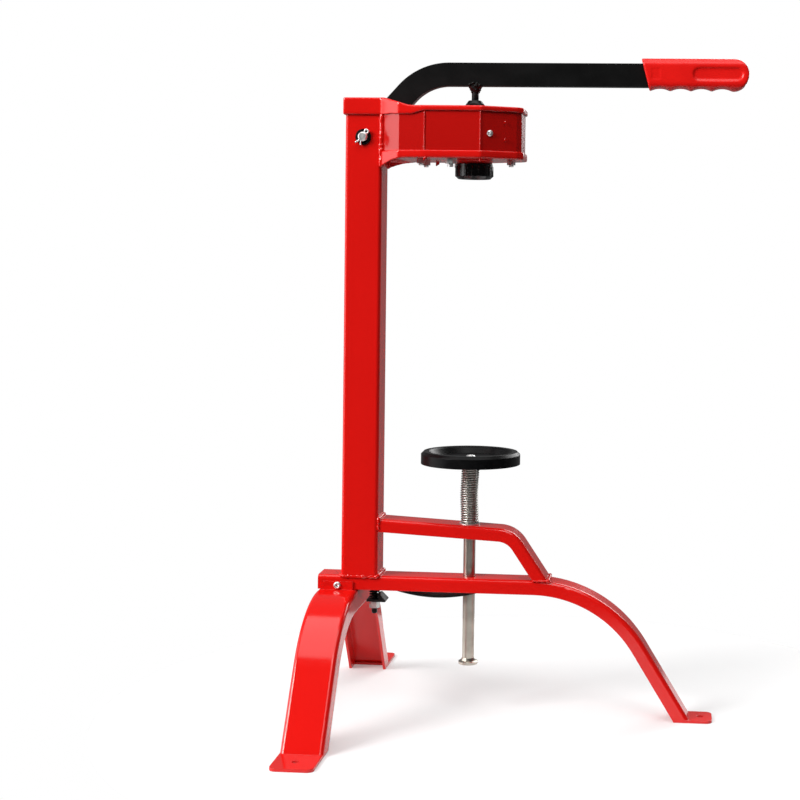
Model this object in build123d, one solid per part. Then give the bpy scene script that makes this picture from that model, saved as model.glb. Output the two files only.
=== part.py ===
from build123d import *
from math import atan2, cos, degrees, pi, radians, sin, sqrt, tan
import os

# A floor-standing corker for wine bottles. A square post stands on a three-legged
# base, a hollow head on top holds four sliding jaws, a long lever closes the jaws and
# drives a plunger down through them, and a sprung dish below lifts the bottle.
# The model is built with the post's axis at X = 0, Y = 0 and the floor at Z = 0.
# X runs from the post towards the bottle, and Z is up. All sizes are millimetres.

# Driving dimensions. Heights inside a group are measured from the group's own start,
# so the post, the base or the reach can be changed without the rest drifting apart.

# Overall
bottle_axis = 118.0       # from the post's axis to the bottle's axis
bar_top = 148.3           # top face of the base bar above the floor
head_bottom = 600.5       # underside of the bottom tray above the floor
dish_top = 285.0          # rim of the platform dish above the floor, spring half out

# Post and base
sheet = 3.0               # wall of the pressed steel pieces
post_side = 40.0          # square tube
post_corner = 4.0
bar_width = 36.0
bar_depth = 15.3
bar_back = 45.5           # from the post's axis to the bar's closed end
bar_past = 72.0           # level stretch of the bar beyond the bottle's axis
bar_bend_radius = 142.5
bar_bend_angle = 58.3
press_corner = 4.5        # outside corner of every pressed channel
front_tab = 25.0          # foot tab beyond the front leg
tab_corner = 7.0
leg_width = 44.0
leg_depth = 22.0
leg_centre = -23.5        # middle of the rear legs along X
leg_flat = 25.0           # half of the flat stretch under the base bar
leg_bend_radius = 130.0
leg_bend_angle = 55.3
rear_tab = 45.0
foot_hole_d = 7.0
ear_wall = 2.2            # ears of the rear legs beside the base bar
ear_height = 9.0
ear_half_length = 17.0
leg_bolt_d = 5.0
leg_bolt_rise = 4.9       # cross bolt above the base bar's lower edge

# Guide bar, the sloping channel above the base bar
guide_wall = 2.5
guide_rise = 62.4         # its top above the base bar, where it meets the post
guide_slope = 3.0
guide_depth = 14.0
guide_past = 34.0         # its straight run beyond the bottle's axis
guide_bend_radius = 34.0
guide_bend_angle = 53.0

# Head
head_height = 55.5        # tray underside to the cover's face over the jaws
cap_rise = 10.0           # the cover's cap over the post above that face
head_half = 45.0          # half width outside the side wall
head_wall = 2.6
flare_run = 22.0          # flare of the head next to the post
flare_step = 4.0          # flare's end inside the full width
side_before = 48.0        # full width begins this far before the bottle's axis
side_past = 11.5          # and ends this far beyond it
nose_past = 53.0          # blunt nose beyond the bottle's axis
nose_slope = 19.0         # how far the chamfered sides close in
nose_corner = 5.0
cover_lip = 2.4           # how far cover and tray stand out from the side wall
tray_lip = 8.5            # height of the tray's lip
tray_skirt = 8.5          # extra depth of its skirts beside the post
skirt_reach = 35.0
cover_skirt = 6.0
hood_run = 31.0           # slope of the cover from the cap to the head
feed_hole_d = 27.0        # hole where the cork is dropped in
collar_wall = 2.0
mouth_d = 17.6            # hole where the squeezed cork leaves
boss_d = 39.0
boss_height = 4.0

# Jaws
throat = 16.0             # side of the square hole when the jaws are shut
jaw_thick = 12.0
jaw_height = 45.5
jaw_open = 9.0            # how much wider the square hole gets
jaw_arm = 4.2             # housing and pusher stop this far from the bottle's axis
slide_gap = 0.2           # between faces that slide on each other
running_gap = 0.3         # between moving pieces and their neighbours

# Pusher
pusher_half = 13.0
pusher_flare = 30.0       # half width of its V-block
pusher_neck = 14.0        # length of the flare
fork_depth = 18.5         # fork round the lever
spring_ear_half = 37.0
spring_ear_depth = 9.0
spring_ear_rise = 15.5    # lower face of the spring ears above the tray
spring_ear_height = 18.0

# Lever
pivot_rise = 23.2         # pivot above the tray's underside
lever_rise = 81.8         # upper edge of the level stretch above the pivot
lever_thick = 12.0
lever_height = 25.0
lever_bend_x = 90.0       # where the level stretch begins
lever_bend_radius = 61.5  # to the middle of the bar
lever_end = 388.0
hub_radius = 15.0
pin_d = 10.0
pin_fit = 0.06            # radial running clearance on the pivot pin
roller_d = 14.0
roller_reach = 24.0       # roller centre from the pivot
roller_angle = 30.0
roller_pin_d = 8.0
roller_gap = 0.8          # roller to pusher at rest
washer_wall = 1.6
washer_r = 8.5
spacer_r = 8.0

# Grip
grip_cover = 91.0         # length of lever inside the grip
grip_over = 23.7          # grip beyond the lever's end
grip_height = 34.0
grip_width = 27.0
grip_corner = 8.0
grip_wave = 3.4
grip_fingers = 4
dimple_length = 53.0
dimple_height = 13.5
dimple_depth = 1.5

# Plunger
plunger_d = 10.0
plunger_below = 6.5       # tip below the tray's underside
stud_d = 7.6
stud_foot = 6.5           # height of the weld foot under the lever
nut_height = 7.4
nut_gap = 1.6             # nut above the cover's face
nut_af = 19.0

# Neck cup
cup_d = 40.0
cup_height = 16.0
cup_spigot_d = 26.0
cup_edge = 2.5
neck_d = 30.0             # bore for the bottle's neck
cup_roof = 3.0

# Platform
dish_d = 108.0
dish_thick = 13.5
dish_wall = 3.0
dish_recess_d = 88.0
dish_recess = 7.0
dish_hub = 4.5
dish_hub_d = 22.0
dish_ribs = 6
rib_half = 1.2
rod_d = 13.0
rod_below = 96.3          # foot of the rod below the base bar's top
rod_hole_gap = 0.5        # radial clearance of the rod in both channels
rod_cap_d = 21.0
rod_cap_height = 8.0
platform_screw_d = 5.0
platform_screw_head_d = 10.0
spring_wire = 2.0
spring_gap = 1.25         # radial clearance of the long spring round the rod
spring_turns = 23
spring_seat_wall = 1.1    # thinnest part of the wedge under the spring

# Lock
lock_bolt_x = 14.0
lock_bolt_d = 6.0
lock_bolt_length = 44.3
lock_wall = 3.0
lock_width = 24.0
lock_drop = 12.8          # underside of the lock lever at its bolt, below the bar's top
lock_bow = 11.0           # how far its middle hangs lower
lock_rise = 4.5           # how far its free end comes up again
lock_seat_drop = 27.3     # seat of the short coil below the bar's top
lock_seat_wall = 4.0
lock_nut_height = 6.5
lock_nut_af = 10.0

# Fasteners
head_bolt_d = 5.0
neck_bolt_x = 62.5
neck_bolt_y = 18.0
end_bolt_past = 40.0      # bolt in the nose beyond the bottle's axis
tray_bolt_d = 6.0
tray_bolt_before = 21.0
tray_bolt_y = 37.0
side_screw_d = 4.0
side_screw_past = 21.0
side_screw_rise = 26.5


# Places that follow from the sizes above

post_half = post_side / 2
bar_under = bar_top - bar_depth
bar_bend_start = bottle_axis + bar_past
guide_start = bar_top + guide_rise
guide_run = bottle_axis - post_half + guide_past
head_top = head_bottom + head_height
cap_top = head_top + cap_rise
tray_lip_top = head_bottom + tray_lip
pivot_height = head_bottom + pivot_rise
lever_top = pivot_height + lever_rise
grip_start = lever_end - grip_cover
grip_end = lever_end + grip_over
nut_bottom = head_top + nut_gap
nut_top = nut_bottom + nut_height
plunger_tip = head_bottom - plunger_below
cup_bottom = head_bottom - boss_height - cup_height
spring_d = rod_d + 2 * (spring_wire + spring_gap)
lock_hold = bar_top - lock_drop
lock_low = lock_hold - lock_bow
lock_seat_top = bar_top - lock_seat_drop
end_bolt_x = bottle_axis + end_bolt_past
head_bolt_places = [
    (neck_bolt_x, -neck_bolt_y, head_bolt_d),
    (neck_bolt_x, neck_bolt_y, head_bolt_d),
    (end_bolt_x, 0.0, head_bolt_d),
]
tray_bolt_places = [
    (bottle_axis - tray_bolt_before, -tray_bolt_y, tray_bolt_d),
    (bottle_axis - tray_bolt_before, tray_bolt_y, tray_bolt_d),
]


# Helpers

def disc(radius, low, high, x=0.0, y=0.0):
    """Upright cylinder between two heights."""
    return Pos(x, y, low) * Cylinder(radius, high - low, align=(Align.CENTER, Align.CENTER, Align.MIN))


def block(x0, x1, y0, y1, z0, z1):
    """Box between two corners."""
    return Pos(x0, y0, z0) * Box(x1 - x0, y1 - y0, z1 - z0, align=(Align.MIN, Align.MIN, Align.MIN))


def cross_rod(radius, y0, y1, x, z):
    """Cylinder along Y between two depths."""
    return Pos(x, (y0 + y1) / 2, z) * Rot(90, 0, 0) * Cylinder(radius, abs(y1 - y0))


def prism(points, low, high):
    """Plan outline raised between two heights."""
    return Pos(0, 0, low) * extrude(make_face(Polyline(*points, close=True)), high - low)


def side_prism(points, half_width):
    """Outline in the XZ plane, thickened to both sides of Y = 0."""
    outline = Plane.XZ * make_face(Polyline(*points, close=True))
    return extrude(outline, half_width, both=True)


def hexagon(across_flats, low, high, x=0.0, y=0.0):
    """Upright hexagonal prism."""
    across_corners = across_flats / cos(radians(30))
    plan = RegularPolygon(across_corners / 2, 6)
    return Pos(x, y, low) * extrude(plan, high - low)


def channel_section(width, depth, wall, corner):
    """U-shaped section, its back at the origin and its legs pointing to -Y."""
    outer = Pos(0, -depth / 2) * Rectangle(width, depth)
    outer = fillet(outer.vertices().group_by(Axis.Y)[-1], corner)
    inner = Pos(0, -wall - depth / 2) * Rectangle(width - 2 * wall, depth)
    return outer - inner


def bent_channel(path, across, section):
    """Section swept along a flat path; across is the direction of its width."""
    start = path @ 0
    place = Plane(origin=start, x_dir=across, z_dir=path % 0)
    return sweep(place * section, path=path)


# Plan outline of the head, a flare from the post, two straight sides and a blunt nose
flare_x = post_half + flare_run
side_x = bottle_axis - side_before
chamfer_x = bottle_axis + side_past
head_end = bottle_axis + nose_past
nose_half = head_half - nose_slope


def head_plan(grow, start_x):
    """Head outline grown by a distance, from start_x to the nose."""
    right = [
        (post_half, post_half + 0.5),
        (flare_x, head_half - flare_step),
        (side_x, head_half),
        (chamfer_x, head_half),
        (head_end - nose_corner, nose_half),
        (head_end, nose_half - nose_corner),
    ]
    left = [(x, -y) for x, y in reversed(right)]
    start = [(start_x - 60.0, -right[0][1]), (start_x - 60.0, right[0][1])]
    plan = make_face(Polyline(*(right + left + start), close=True))
    if grow:
        plan = offset(plan, grow, kind=Kind.INTERSECTION)
    low_corner = (Align.MIN, Align.MIN)
    keep = Pos(start_x, -head_half * 2) * Rectangle(head_end * 2, head_half * 4, align=low_corner)
    return plan & keep


def head_body(grow, start_x, low, high):
    """Head outline as a solid between two heights."""
    return Pos(0, 0, low) * extrude(head_plan(grow, start_x), high - low)


# Frame

def make_base_bar():
    """Base bar and front leg, one pressed channel, open below, with a foot tab."""
    level = Line((-bar_back, 0, bar_top), (bar_bend_start, 0, bar_top))
    bend = Plane.XZ * JernArc((bar_bend_start, bar_top), (1, 0), bar_bend_radius, -bar_bend_angle)
    drop = (bend @ 1).Z + 30.0
    slant = Line(bend @ 1, (bend @ 1) + (bend % 1) * (drop / sin(radians(bar_bend_angle))))
    path = Wire([level, bend, slant])
    section = channel_section(bar_width, bar_depth, sheet, press_corner)
    bar = bent_channel(path, (0, 1, 0), section)
    bar -= block(0, 600, -60, 60, -80, 0)
    # folded end of the channel behind the post
    bar += block(-bar_back, -bar_back + sheet, -bar_width / 2 + 1.2, bar_width / 2 - 1.2,
                 bar_top - bar_depth, bar_top - press_corner + 1.0)
    # foot tab
    foot_x = front_foot_x()
    tab = Pos(foot_x - 6, 0) * Rectangle(front_tab + 6, bar_width, align=(Align.MIN, Align.CENTER))
    tab = fillet(tab.vertices().group_by(Axis.X)[-1], tab_corner)
    tab = extrude(tab, sheet)
    bar += tab
    bar -= disc(foot_hole_d / 2, -1, sheet + 1, foot_x + front_tab / 2)
    # holes for the platform rod, the lock bolt and the rear legs' bolt
    bar -= disc(rod_d / 2 + rod_hole_gap, bar_top - 10, bar_top + 5, bottle_axis)
    bar -= disc(lock_bolt_d / 2, bar_top - 10, bar_top + 5, lock_bolt_x)
    bar -= cross_rod(leg_bolt_d / 2, -60, 60, leg_centre, leg_bolt_z)
    return bar


def front_foot_x():
    """Where the front leg's outer face meets the floor's top of tab."""
    angle = radians(bar_bend_angle)
    end_x = bar_bend_start + bar_bend_radius * sin(angle)
    end_z = bar_top - bar_bend_radius * (1 - cos(angle))
    return end_x + (end_z - sheet) / tan(angle)


leg_bolt_z = bar_under + leg_bolt_rise
ear_gap = 0.1


def rear_foot_y():
    """Where a rear leg's outer face meets the top of its tab."""
    angle = radians(leg_bend_angle)
    end_y = leg_flat + leg_bend_radius * sin(angle)
    end_z = bar_under - leg_bend_radius * (1 - cos(angle))
    return end_y + (end_z - sheet) / tan(angle)


def make_rear_legs():
    """Both rear legs, one pressed channel arched under the base bar."""
    level = Line((0, bar_under), (leg_flat, bar_under))
    bend = JernArc(level @ 1, (1, 0), leg_bend_radius, -leg_bend_angle)
    drop = (bend @ 1).Y + 30.0
    slant = Line(bend @ 1, (bend @ 1) + (bend % 1) * (drop / sin(radians(leg_bend_angle))))
    path = Pos(leg_centre, 0, 0) * (Plane.YZ * Wire([level, bend, slant]))
    section = channel_section(leg_width, leg_depth, sheet, press_corner)
    place = Plane(origin=path @ 0, x_dir=(-1, 0, 0), z_dir=(0, 1, 0))
    leg = sweep(place * section, path=path)
    leg -= block(leg_centre - 60, leg_centre + 60, 0, 400, -80, 0)
    foot_y = rear_foot_y()
    tab = Pos(leg_centre, foot_y - 6) * Rectangle(leg_width, rear_tab + 6, align=(Align.CENTER, Align.MIN))
    tab = fillet(tab.vertices().group_by(Axis.Y)[-1], tab_corner)
    tab = extrude(tab, sheet)
    leg += tab
    leg -= disc(foot_hole_d / 2, -1, sheet + 1, leg_centre, foot_y + rear_tab / 2)
    # ear turned up beside the base bar
    ear_y = bar_width / 2 + ear_gap
    ear = block(leg_centre - ear_half_length, leg_centre + ear_half_length, ear_y, ear_y + ear_wall,
                bar_under - sheet / 2, bar_under + ear_height)
    leg += ear
    legs = leg + mirror(leg, about=Plane.XZ)
    legs -= cross_rod(leg_bolt_d / 2, -60, 60, leg_centre, leg_bolt_z)
    return legs


def guide_point(distance):
    """Point on the guide bar's top line at a distance from the post."""
    slope = radians(guide_slope)
    return post_half + distance * cos(slope), guide_start - distance * sin(slope)


def guide_height(x):
    """Height of the guide bar's top face above a point of its straight run."""
    return guide_start - (x - post_half) * tan(radians(guide_slope))


def make_guide_bar():
    """Upper channel that guides the platform rod, welded to post and base bar."""
    slope = radians(guide_slope)
    back = (post_half - 10 * cos(slope), guide_start + 10 * sin(slope))
    knee = guide_point(guide_run)
    run = Line(back, knee)
    bend = JernArc(knee, (cos(slope), -sin(slope)), guide_bend_radius, -guide_bend_angle)
    fall = Line(bend @ 1, (bend @ 1) + (bend % 1) * 100)
    path = Plane.XZ * Wire([run, bend, fall])
    section = channel_section(bar_width, guide_depth, guide_wall, press_corner - 0.5)
    bar = bent_channel(path, (0, 1, 0), section)
    bar -= block(-60, post_half, -60, 60, 0, 400)
    bar -= block(0, 400, -60, 60, 0, bar_top)
    bar -= disc(rod_d / 2 + rod_hole_gap, bar_top + 1, guide_start + 10, bottle_axis)
    return bar


window_half = pusher_half + 1.5
window_low = head_bottom + sheet


def make_post():
    """Square tube with a window for the pusher and two pivot holes near its top."""
    outer = RectangleRounded(post_side, post_side, post_corner)
    inner = RectangleRounded(post_side - 2 * sheet, post_side - 2 * sheet, post_corner - sheet + 0.5)
    post_top = cap_top - sheet
    post = Pos(0, 0, bar_top) * extrude(outer - inner, post_top - bar_top)
    post -= block(0, 40, -window_half, window_half, window_low, cap_top)
    post -= cross_rod(pin_d / 2, -60, 60, 0, pivot_height)
    return post


# Head shell

def make_tray():
    """Bottom tray with a lip round the side wall, a mouth and a boss for the neck cup."""
    start = post_half + 0.05
    tray = head_body(cover_lip, start, head_bottom, tray_lip_top)
    tray -= head_body(0.1, start - 5, head_bottom + sheet, tray_lip_top + 1)
    # deeper skirts where the tray meets the post
    low = head_bottom - tray_skirt
    end = start + skirt_reach
    skirt = head_body(cover_lip, start, low, head_bottom + 1)
    skirt -= head_body(0.1, start - 5, low - 1, head_bottom + 2)
    drop = Line((start, head_bottom + 1), (start, low))
    between = (start + skirt_reach * 0.34, head_bottom - tray_skirt * 0.38)
    rise = ThreePointArc((start, low), between, (end, head_bottom))
    side = Line((end, head_bottom), (end, head_bottom + 1))
    lid = Line((end, head_bottom + 1), (start, head_bottom + 1))
    mask = extrude(Plane.XZ * make_face(Wire([drop, rise, side, lid])), 100, both=True)
    tray += skirt & mask
    tray += disc(boss_d / 2, head_bottom - boss_height, head_bottom + 1, bottle_axis)
    tray -= disc(mouth_d / 2, head_bottom - 20, head_bottom + 20, bottle_axis)
    # seat for the neck cup's spigot
    tray -= disc(cup_spigot_d / 2, head_bottom - 20, head_bottom - 1.0, bottle_axis)
    for x, y, d in head_bolt_places + tray_bolt_places:
        tray -= disc(d / 2, head_bottom - 2, head_bottom + 20, x, y)
    return tray


def make_side_wall():
    """Folded strip that goes round the jaws from one side of the post to the other."""
    start = post_half + 0.05
    low = head_bottom + sheet
    high = head_top - sheet
    wall = head_body(0, start, low, high) - head_body(-head_wall, start - 10, low - 1, high + 1)
    for side in (-1, 1):
        hole = side_screw_axis(side) * Cylinder(side_screw_d / 2, 12)
        wall -= hole
    return wall


side_screw_x = bottle_axis + side_screw_past
side_screw_z = head_bottom + side_screw_rise


def side_screw_axis(side):
    """Frame on the chamfered face at the side screw, its Z pointing outwards."""
    rise = head_half - nose_half
    run = head_end - nose_corner - chamfer_x
    length = sqrt(rise * rise + run * run)
    normal = (rise / length, side * run / length, 0)
    y = side * (head_half - (side_screw_x - chamfer_x) * rise / run)
    return Plane(origin=(side_screw_x, y, side_screw_z), x_dir=(0, 0, 1), z_dir=normal).location


def cap_profile(lower):
    """Side view of the cover's top line, lowered by a distance, closed far below."""
    hood_end = post_half + hood_run
    top = [
        (-80.0, cap_top - lower),
        (post_half + 2.0, cap_top - lower),
        (hood_end, head_top + 0.6 - lower),
        (hood_end + 5.0, head_top - lower),
        (head_end + 80.0, head_top - lower),
    ]
    skirt_z = head_top - cover_skirt
    bottom = [
        (head_end + 80.0, skirt_z),
        (side_x - 2.0, skirt_z),
        (side_x - 15.0, skirt_z - 4.0),
        (post_half + 12.0, skirt_z - 3.0),
        (-80.0, skirt_z - 3.0),
    ]
    if lower:
        bottom = [(head_end + 80.0, skirt_z - 30), (-80.0, skirt_z - 30)]
    return top + bottom


slot_half = lever_thick / 2 + 1.6
slot_back = -post_half + sheet - 0.6
slot_front = 53.0


def make_cover():
    """Top cover: a cap over the post, a hood down to the head and a turned-down skirt."""
    start = -post_half
    outer = head_body(cover_lip, start - cover_lip, head_bottom, cap_top + 10)
    cover = outer & side_prism(cap_profile(0), 100)
    inner = head_body(0.1, start - 0.1, head_bottom, cap_top + 10) & side_prism(cap_profile(sheet), 100)
    cover -= inner
    # raised collar round the feed hole
    cover += disc(feed_hole_d / 2 + collar_wall, head_top - 1, head_top + 2.0, bottle_axis)
    cover -= disc(feed_hole_d / 2, head_top - 10, head_top + 10, bottle_axis)
    # slot for the lever
    cover -= block(slot_back, slot_front, -slot_half, slot_half, head_top - 20, cap_top + 10)
    for x, y, d in head_bolt_places:
        cover -= disc(d / 2, head_top - 10, head_top + 10, x, y)
    return cover


# Jaws. P runs along (1, 1) and Q along (1, -1) in plan, measured from the bottle axis.

jaw_low = head_bottom + sheet + running_gap
jaw_high = jaw_low + jaw_height
shut = throat / 2
rim = shut + jaw_thick


def diagonal_block(p0, p1, q0, q1, low, high):
    """Block whose sides lie along the two diagonals of the jaw pocket."""
    middle_p = (p0 + p1) / 2
    middle_q = (q0 + q1) / 2
    x = bottle_axis + (middle_p + middle_q) / sqrt(2)
    y = (middle_p - middle_q) / sqrt(2)
    body = Box(p1 - p0, q1 - q0, high - low, align=(Align.CENTER, Align.CENTER, Align.MIN))
    return Pos(x, y, low) * Rot(0, 0, 45) * body


def jaw_bar(p0, p1, q0, q1):
    """One jaw, its corners eased and its inner top edge led in for the cork."""
    bar = diagonal_block(p0, p1, q0, q1, jaw_low, jaw_high)
    lead = Pos(bottle_axis, 0, jaw_high) * Cone(0.1, shut * 1.9, shut * 1.9 - 0.1,
                                                align=(Align.CENTER, Align.CENTER, Align.CENTER))
    return fillet(bar.edges().filter_by(Axis.Z), 0.8) - lead


def make_jaws():
    """Four jaws in a pinwheel round the throat."""
    g = slide_gap
    fixed = jaw_bar(shut, rim, -rim, shut - g)
    front = jaw_bar(-shut + g, rim, shut, rim)
    rear = jaw_bar(-rim, -shut, -shut + g, rim)
    back = jaw_bar(-rim, shut - g, -rim, -shut)
    return fixed, front, rear, back


def make_housing():
    """Fixed V-block that backs two jaws at the nose of the head."""
    g = slide_gap
    tip = (rim + g) * sqrt(2)
    outer = head_plan(-head_wall - 0.1, bottle_axis + jaw_arm)
    body = Pos(0, 0, head_bottom + sheet) * extrude(outer, head_height - 2 * sheet - running_gap)
    notch = [(bottle_axis - 60, 60 + tip), (bottle_axis + tip, 0), (bottle_axis - 60, -60 - tip)]
    body -= prism(notch, jaw_low - 5, jaw_high + 10)
    body -= disc(head_bolt_d / 2 + running_gap, jaw_low - 5, jaw_high + 10, end_bolt_x)
    for side in (-1, 1):
        body -= side_screw_axis(side) * Cylinder(side_screw_d / 2, 24)
    return body


roller_x = roller_reach * cos(radians(roller_angle))
roller_z = pivot_height + roller_reach * sin(radians(roller_angle))
pusher_back = roller_x + roller_d / 2 + roller_gap
ear_low = head_bottom + spring_ear_rise + sheet
ear_high = ear_low + spring_ear_height


def make_pusher():
    """Sliding V-block that the lever's roller drives, forked round the lever."""
    g = slide_gap
    tip = rim * sqrt(2) + g
    arm = bottle_axis - jaw_arm
    flare = arm - pusher_neck
    shoulder = flare - (pusher_flare - pusher_half) * 1.4
    right = [
        (pusher_back, pusher_half),
        (shoulder, pusher_half),
        (flare, pusher_flare),
        (arm, pusher_flare),
    ]
    left = [(x, -y) for x, y in reversed(right)]
    body = prism(right + left, jaw_low, jaw_high)
    body += block(arm - spring_ear_depth, arm, -spring_ear_half, spring_ear_half, ear_low, ear_high)
    notch = [(bottle_axis + 60, 60 + tip), (bottle_axis - tip, 0), (bottle_axis + 60, -60 - tip)]
    body -= prism(notch, jaw_low - 5, jaw_high + 10)
    fork_half = lever_thick / 2 + roller_gap
    body -= block(0, pusher_back + fork_depth, -fork_half, fork_half, jaw_low - 5, jaw_high + 5)
    return body


turn_pieces = 10
return_spring_d = 6.0
return_spring_wire = 1.1
return_spring_y = spring_ear_half - return_spring_d / 2 - 0.4


def make_return_springs():
    """Two coils between housing and pusher that open the jaws as the lever rises."""
    length = 2 * jaw_arm - 0.2
    coil = coil_spring(return_spring_d / 2, return_spring_wire, length, 3)
    middle = (ear_low + ear_high) / 2
    group = []
    for side in (-1, 1):
        group.append(Pos(bottle_axis - length / 2, side * return_spring_y, middle) * Rot(0, 90, 0) * coil)
    return Compound(children=group)


def coil_spring(radius, wire, height, turns):
    """Coil spring of four-sided wire in short straight pieces, standing on Z = 0."""
    rise = height - wire
    count = turns * turn_pieces
    places = []
    for index in range(count + 1):
        angle = 2 * pi * index / turn_pieces
        places.append((radius * cos(angle), radius * sin(angle), rise * index / count))
    path = Polyline(*places)
    start = Plane(origin=path @ 0, x_dir=(0, 0, 1), z_dir=path % 0)
    section = start * RegularPolygon(wire / 2, 4, rotation=0)
    return Pos(0, 0, wire / 2) * sweep(section, path=path, transition=Transition.RIGHT)


# Lever

def make_lever():
    """Bent flat bar with a hub at the pivot and a lug for the roller."""
    middle_z = lever_top - lever_height / 2
    level = Line((lever_end, middle_z), (lever_bend_x, middle_z))
    # turn the arc until its tangent points at the pivot
    height = middle_z - pivot_height - lever_bend_radius
    reach = sqrt(lever_bend_x ** 2 + height ** 2)
    turn = degrees(atan2(height, lever_bend_x)) + degrees_of_sine(lever_bend_radius / reach)
    arc = JernArc(level @ 1, (-1, 0), lever_bend_radius, turn)
    stub = Line(arc @ 1, (0, pivot_height))
    path = Plane.XZ * Wire([level, arc, stub])
    place = Plane(origin=path @ 0, x_dir=(0, 1, 0), z_dir=path % 0)
    bar = sweep(place * Rectangle(lever_thick, lever_height), path=path)
    half = lever_thick / 2
    bar += cross_rod(hub_radius, -half, half, 0, pivot_height)
    bar += cross_rod(roller_pin_d / 2 + 3.0, -half, half, roller_x, roller_z)
    bar -= cross_rod(pin_d / 2 + pin_fit, -20, 20, 0, pivot_height)
    bar -= cross_rod(roller_pin_d / 2, -20, 20, roller_x, roller_z)
    return bar


def degrees_of_sine(value):
    """Angle whose sine is the value."""
    return degrees(atan2(value, sqrt(1 - value * value)))


def make_grip():
    """Moulded grip with finger waves below, a round end and a long dimple each side."""
    top = lever_top + (grip_height - lever_height) / 2 + 0.9
    low = top - grip_height
    radius = grip_height / 2
    end_x = grip_end - radius
    first = grip_start + 9.0
    pitch = (end_x - first) / grip_fingers
    lines = [Line((grip_start, top), (end_x, top)),
             ThreePointArc((end_x, top), (grip_end, top - radius), (end_x, low))]
    x = end_x
    for finger in range(grip_fingers):
        middle = (x - pitch / 2, low + grip_wave)
        lines.append(ThreePointArc((x, low), middle, (x - pitch, low)))
        x -= pitch
    lines.append(Line((x, low), (grip_start, top)))
    outline = Plane.XZ * make_face(Wire(lines))
    grip = extrude(outline, grip_width / 2, both=True)
    # soften the long edges with a rounded cross-section
    middle_z = (top + low) / 2
    section = Plane(origin=(grip_start - 10, 0, middle_z), x_dir=(0, 1, 0), z_dir=(1, 0, 0))
    bar = section * RectangleRounded(grip_width, grip_height, grip_corner)
    grip = grip & extrude(bar, grip_end - grip_start + 20)
    bore_z = lever_top - lever_height / 2
    half = lever_height / 2
    side = lever_thick / 2
    grip -= block(grip_start - 5, lever_end, -side, side, bore_z - half, bore_z + half)
    dimple_x = grip_end - radius - dimple_length * 0.3
    dimple = Plane.XZ * (Pos(dimple_x, middle_z) * SlotOverall(dimple_length, dimple_height))
    for side in (-1, 1):
        cut = extrude(dimple, dimple_depth)
        y = side * grip_width / 2
        grip -= Pos(0, y + (0 if side > 0 else dimple_depth), 0) * cut
    return grip


def make_roller_pin():
    """Pin through the lever's lug."""
    reach = pusher_half - 0.2
    return cross_rod(roller_pin_d / 2, -reach, reach, roller_x, roller_z)


def make_rollers():
    """A roller on each end of the roller pin."""
    group = []
    for side in (-1, 1):
        near = side * (lever_thick / 2 + running_gap)
        far = side * (pusher_half - running_gap)
        ring = cross_rod(roller_d / 2, near, far, roller_x, roller_z)
        group.append(ring - cross_rod(roller_pin_d / 2, -30, 30, roller_x, roller_z))
    return Compound(children=group)


# Pivot

split_pin_d = 2.2
split_pin_out = 2.2
split_pin_turn = 35.0


def make_pivot_pin():
    """Clevis pin with a low round head behind and a drilled end in front."""
    out = post_half + washer_wall
    pin = cross_rod(pin_d / 2, -out - 5.0, out + 0.5, 0, pivot_height)
    pin += cross_rod(pin_d / 2 + 2.5, out, out + 3.5, 0, pivot_height)
    pin = chamfer(pin.edges().group_by(Axis.Y)[0], 1.2)
    place = Pos(0, -out - split_pin_out, pivot_height) * Rot(0, split_pin_turn, 0)
    return pin - place * Cylinder(split_pin_d / 2 + 0.1, 30)


def make_pivot_washers():
    """Flat washer against each side of the post."""
    group = []
    for side in (-1, 1):
        near = side * post_half
        far = side * (post_half + washer_wall)
        ring = cross_rod(washer_r, near, far, 0, pivot_height)
        group.append(ring - cross_rod(pin_d / 2, -60, 60, 0, pivot_height))
    return Compound(children=group)


def make_pivot_spacers():
    """Bush on each side of the lever that keeps it in the middle of the post."""
    group = []
    inner_wall = post_half - sheet
    for side in (-1, 1):
        near = side * (lever_thick / 2 + running_gap)
        far = side * inner_wall
        ring = cross_rod(spacer_r, near, far, 0, pivot_height)
        group.append(ring - cross_rod(pin_d / 2, -60, 60, 0, pivot_height))
    return Compound(children=group)


def make_split_pin():
    """Split pin through the drilled end, an eye above and two spread legs below."""
    out = post_half + washer_wall
    reach = pin_d / 2 + 2.0
    shaft = Cylinder(split_pin_d / 2, 2 * reach)
    eye = Cylinder(3.2, 1.5) - Cylinder(1.7, 3.0)
    eye = Pos(0, 0, reach + 2.0) * Rot(90, 0, 0) * eye
    leg = Pos(0, 0, -3.0) * Box(1.0, 1.4, 6.0)
    legs = Pos(0, 0, -reach + 0.6) * (Rot(0, 24, 0) * leg + Rot(0, -24, 0) * leg)
    return Pos(0, -out - split_pin_out, pivot_height) * Rot(0, split_pin_turn, 0) * (shaft + eye + legs)


# Plunger

def make_stud():
    """Threaded stud with a spread weld foot under the lever."""
    under = lever_top - lever_height
    stud = disc(stud_d / 2, nut_top - 3.0, under, bottle_axis)
    standing = (Align.CENTER, Align.CENTER, Align.MIN)
    foot = Cone(stud_d / 2, stud_d + 0.4, stud_foot, align=standing)
    foot = Pos(bottle_axis, 0, under - stud_foot) * foot
    half = lever_thick / 2
    return stud + (foot & block(bottle_axis - 20, bottle_axis + 20, -half, half, under - 10, under))


def make_plunger_nut():
    """Hexagon nut, its corners turned off to a cone at the top."""
    nut = hexagon(nut_af, nut_bottom, nut_top, bottle_axis)
    standing = (Align.CENTER, Align.CENTER, Align.MIN)
    cone = Pos(bottle_axis, 0, nut_bottom) * Cone(nut_af * 0.66, nut_af * 0.38, nut_height, align=standing)
    return (nut & cone) - disc(stud_d / 2, nut_top - 3.0, nut_top + 1, bottle_axis)


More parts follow.
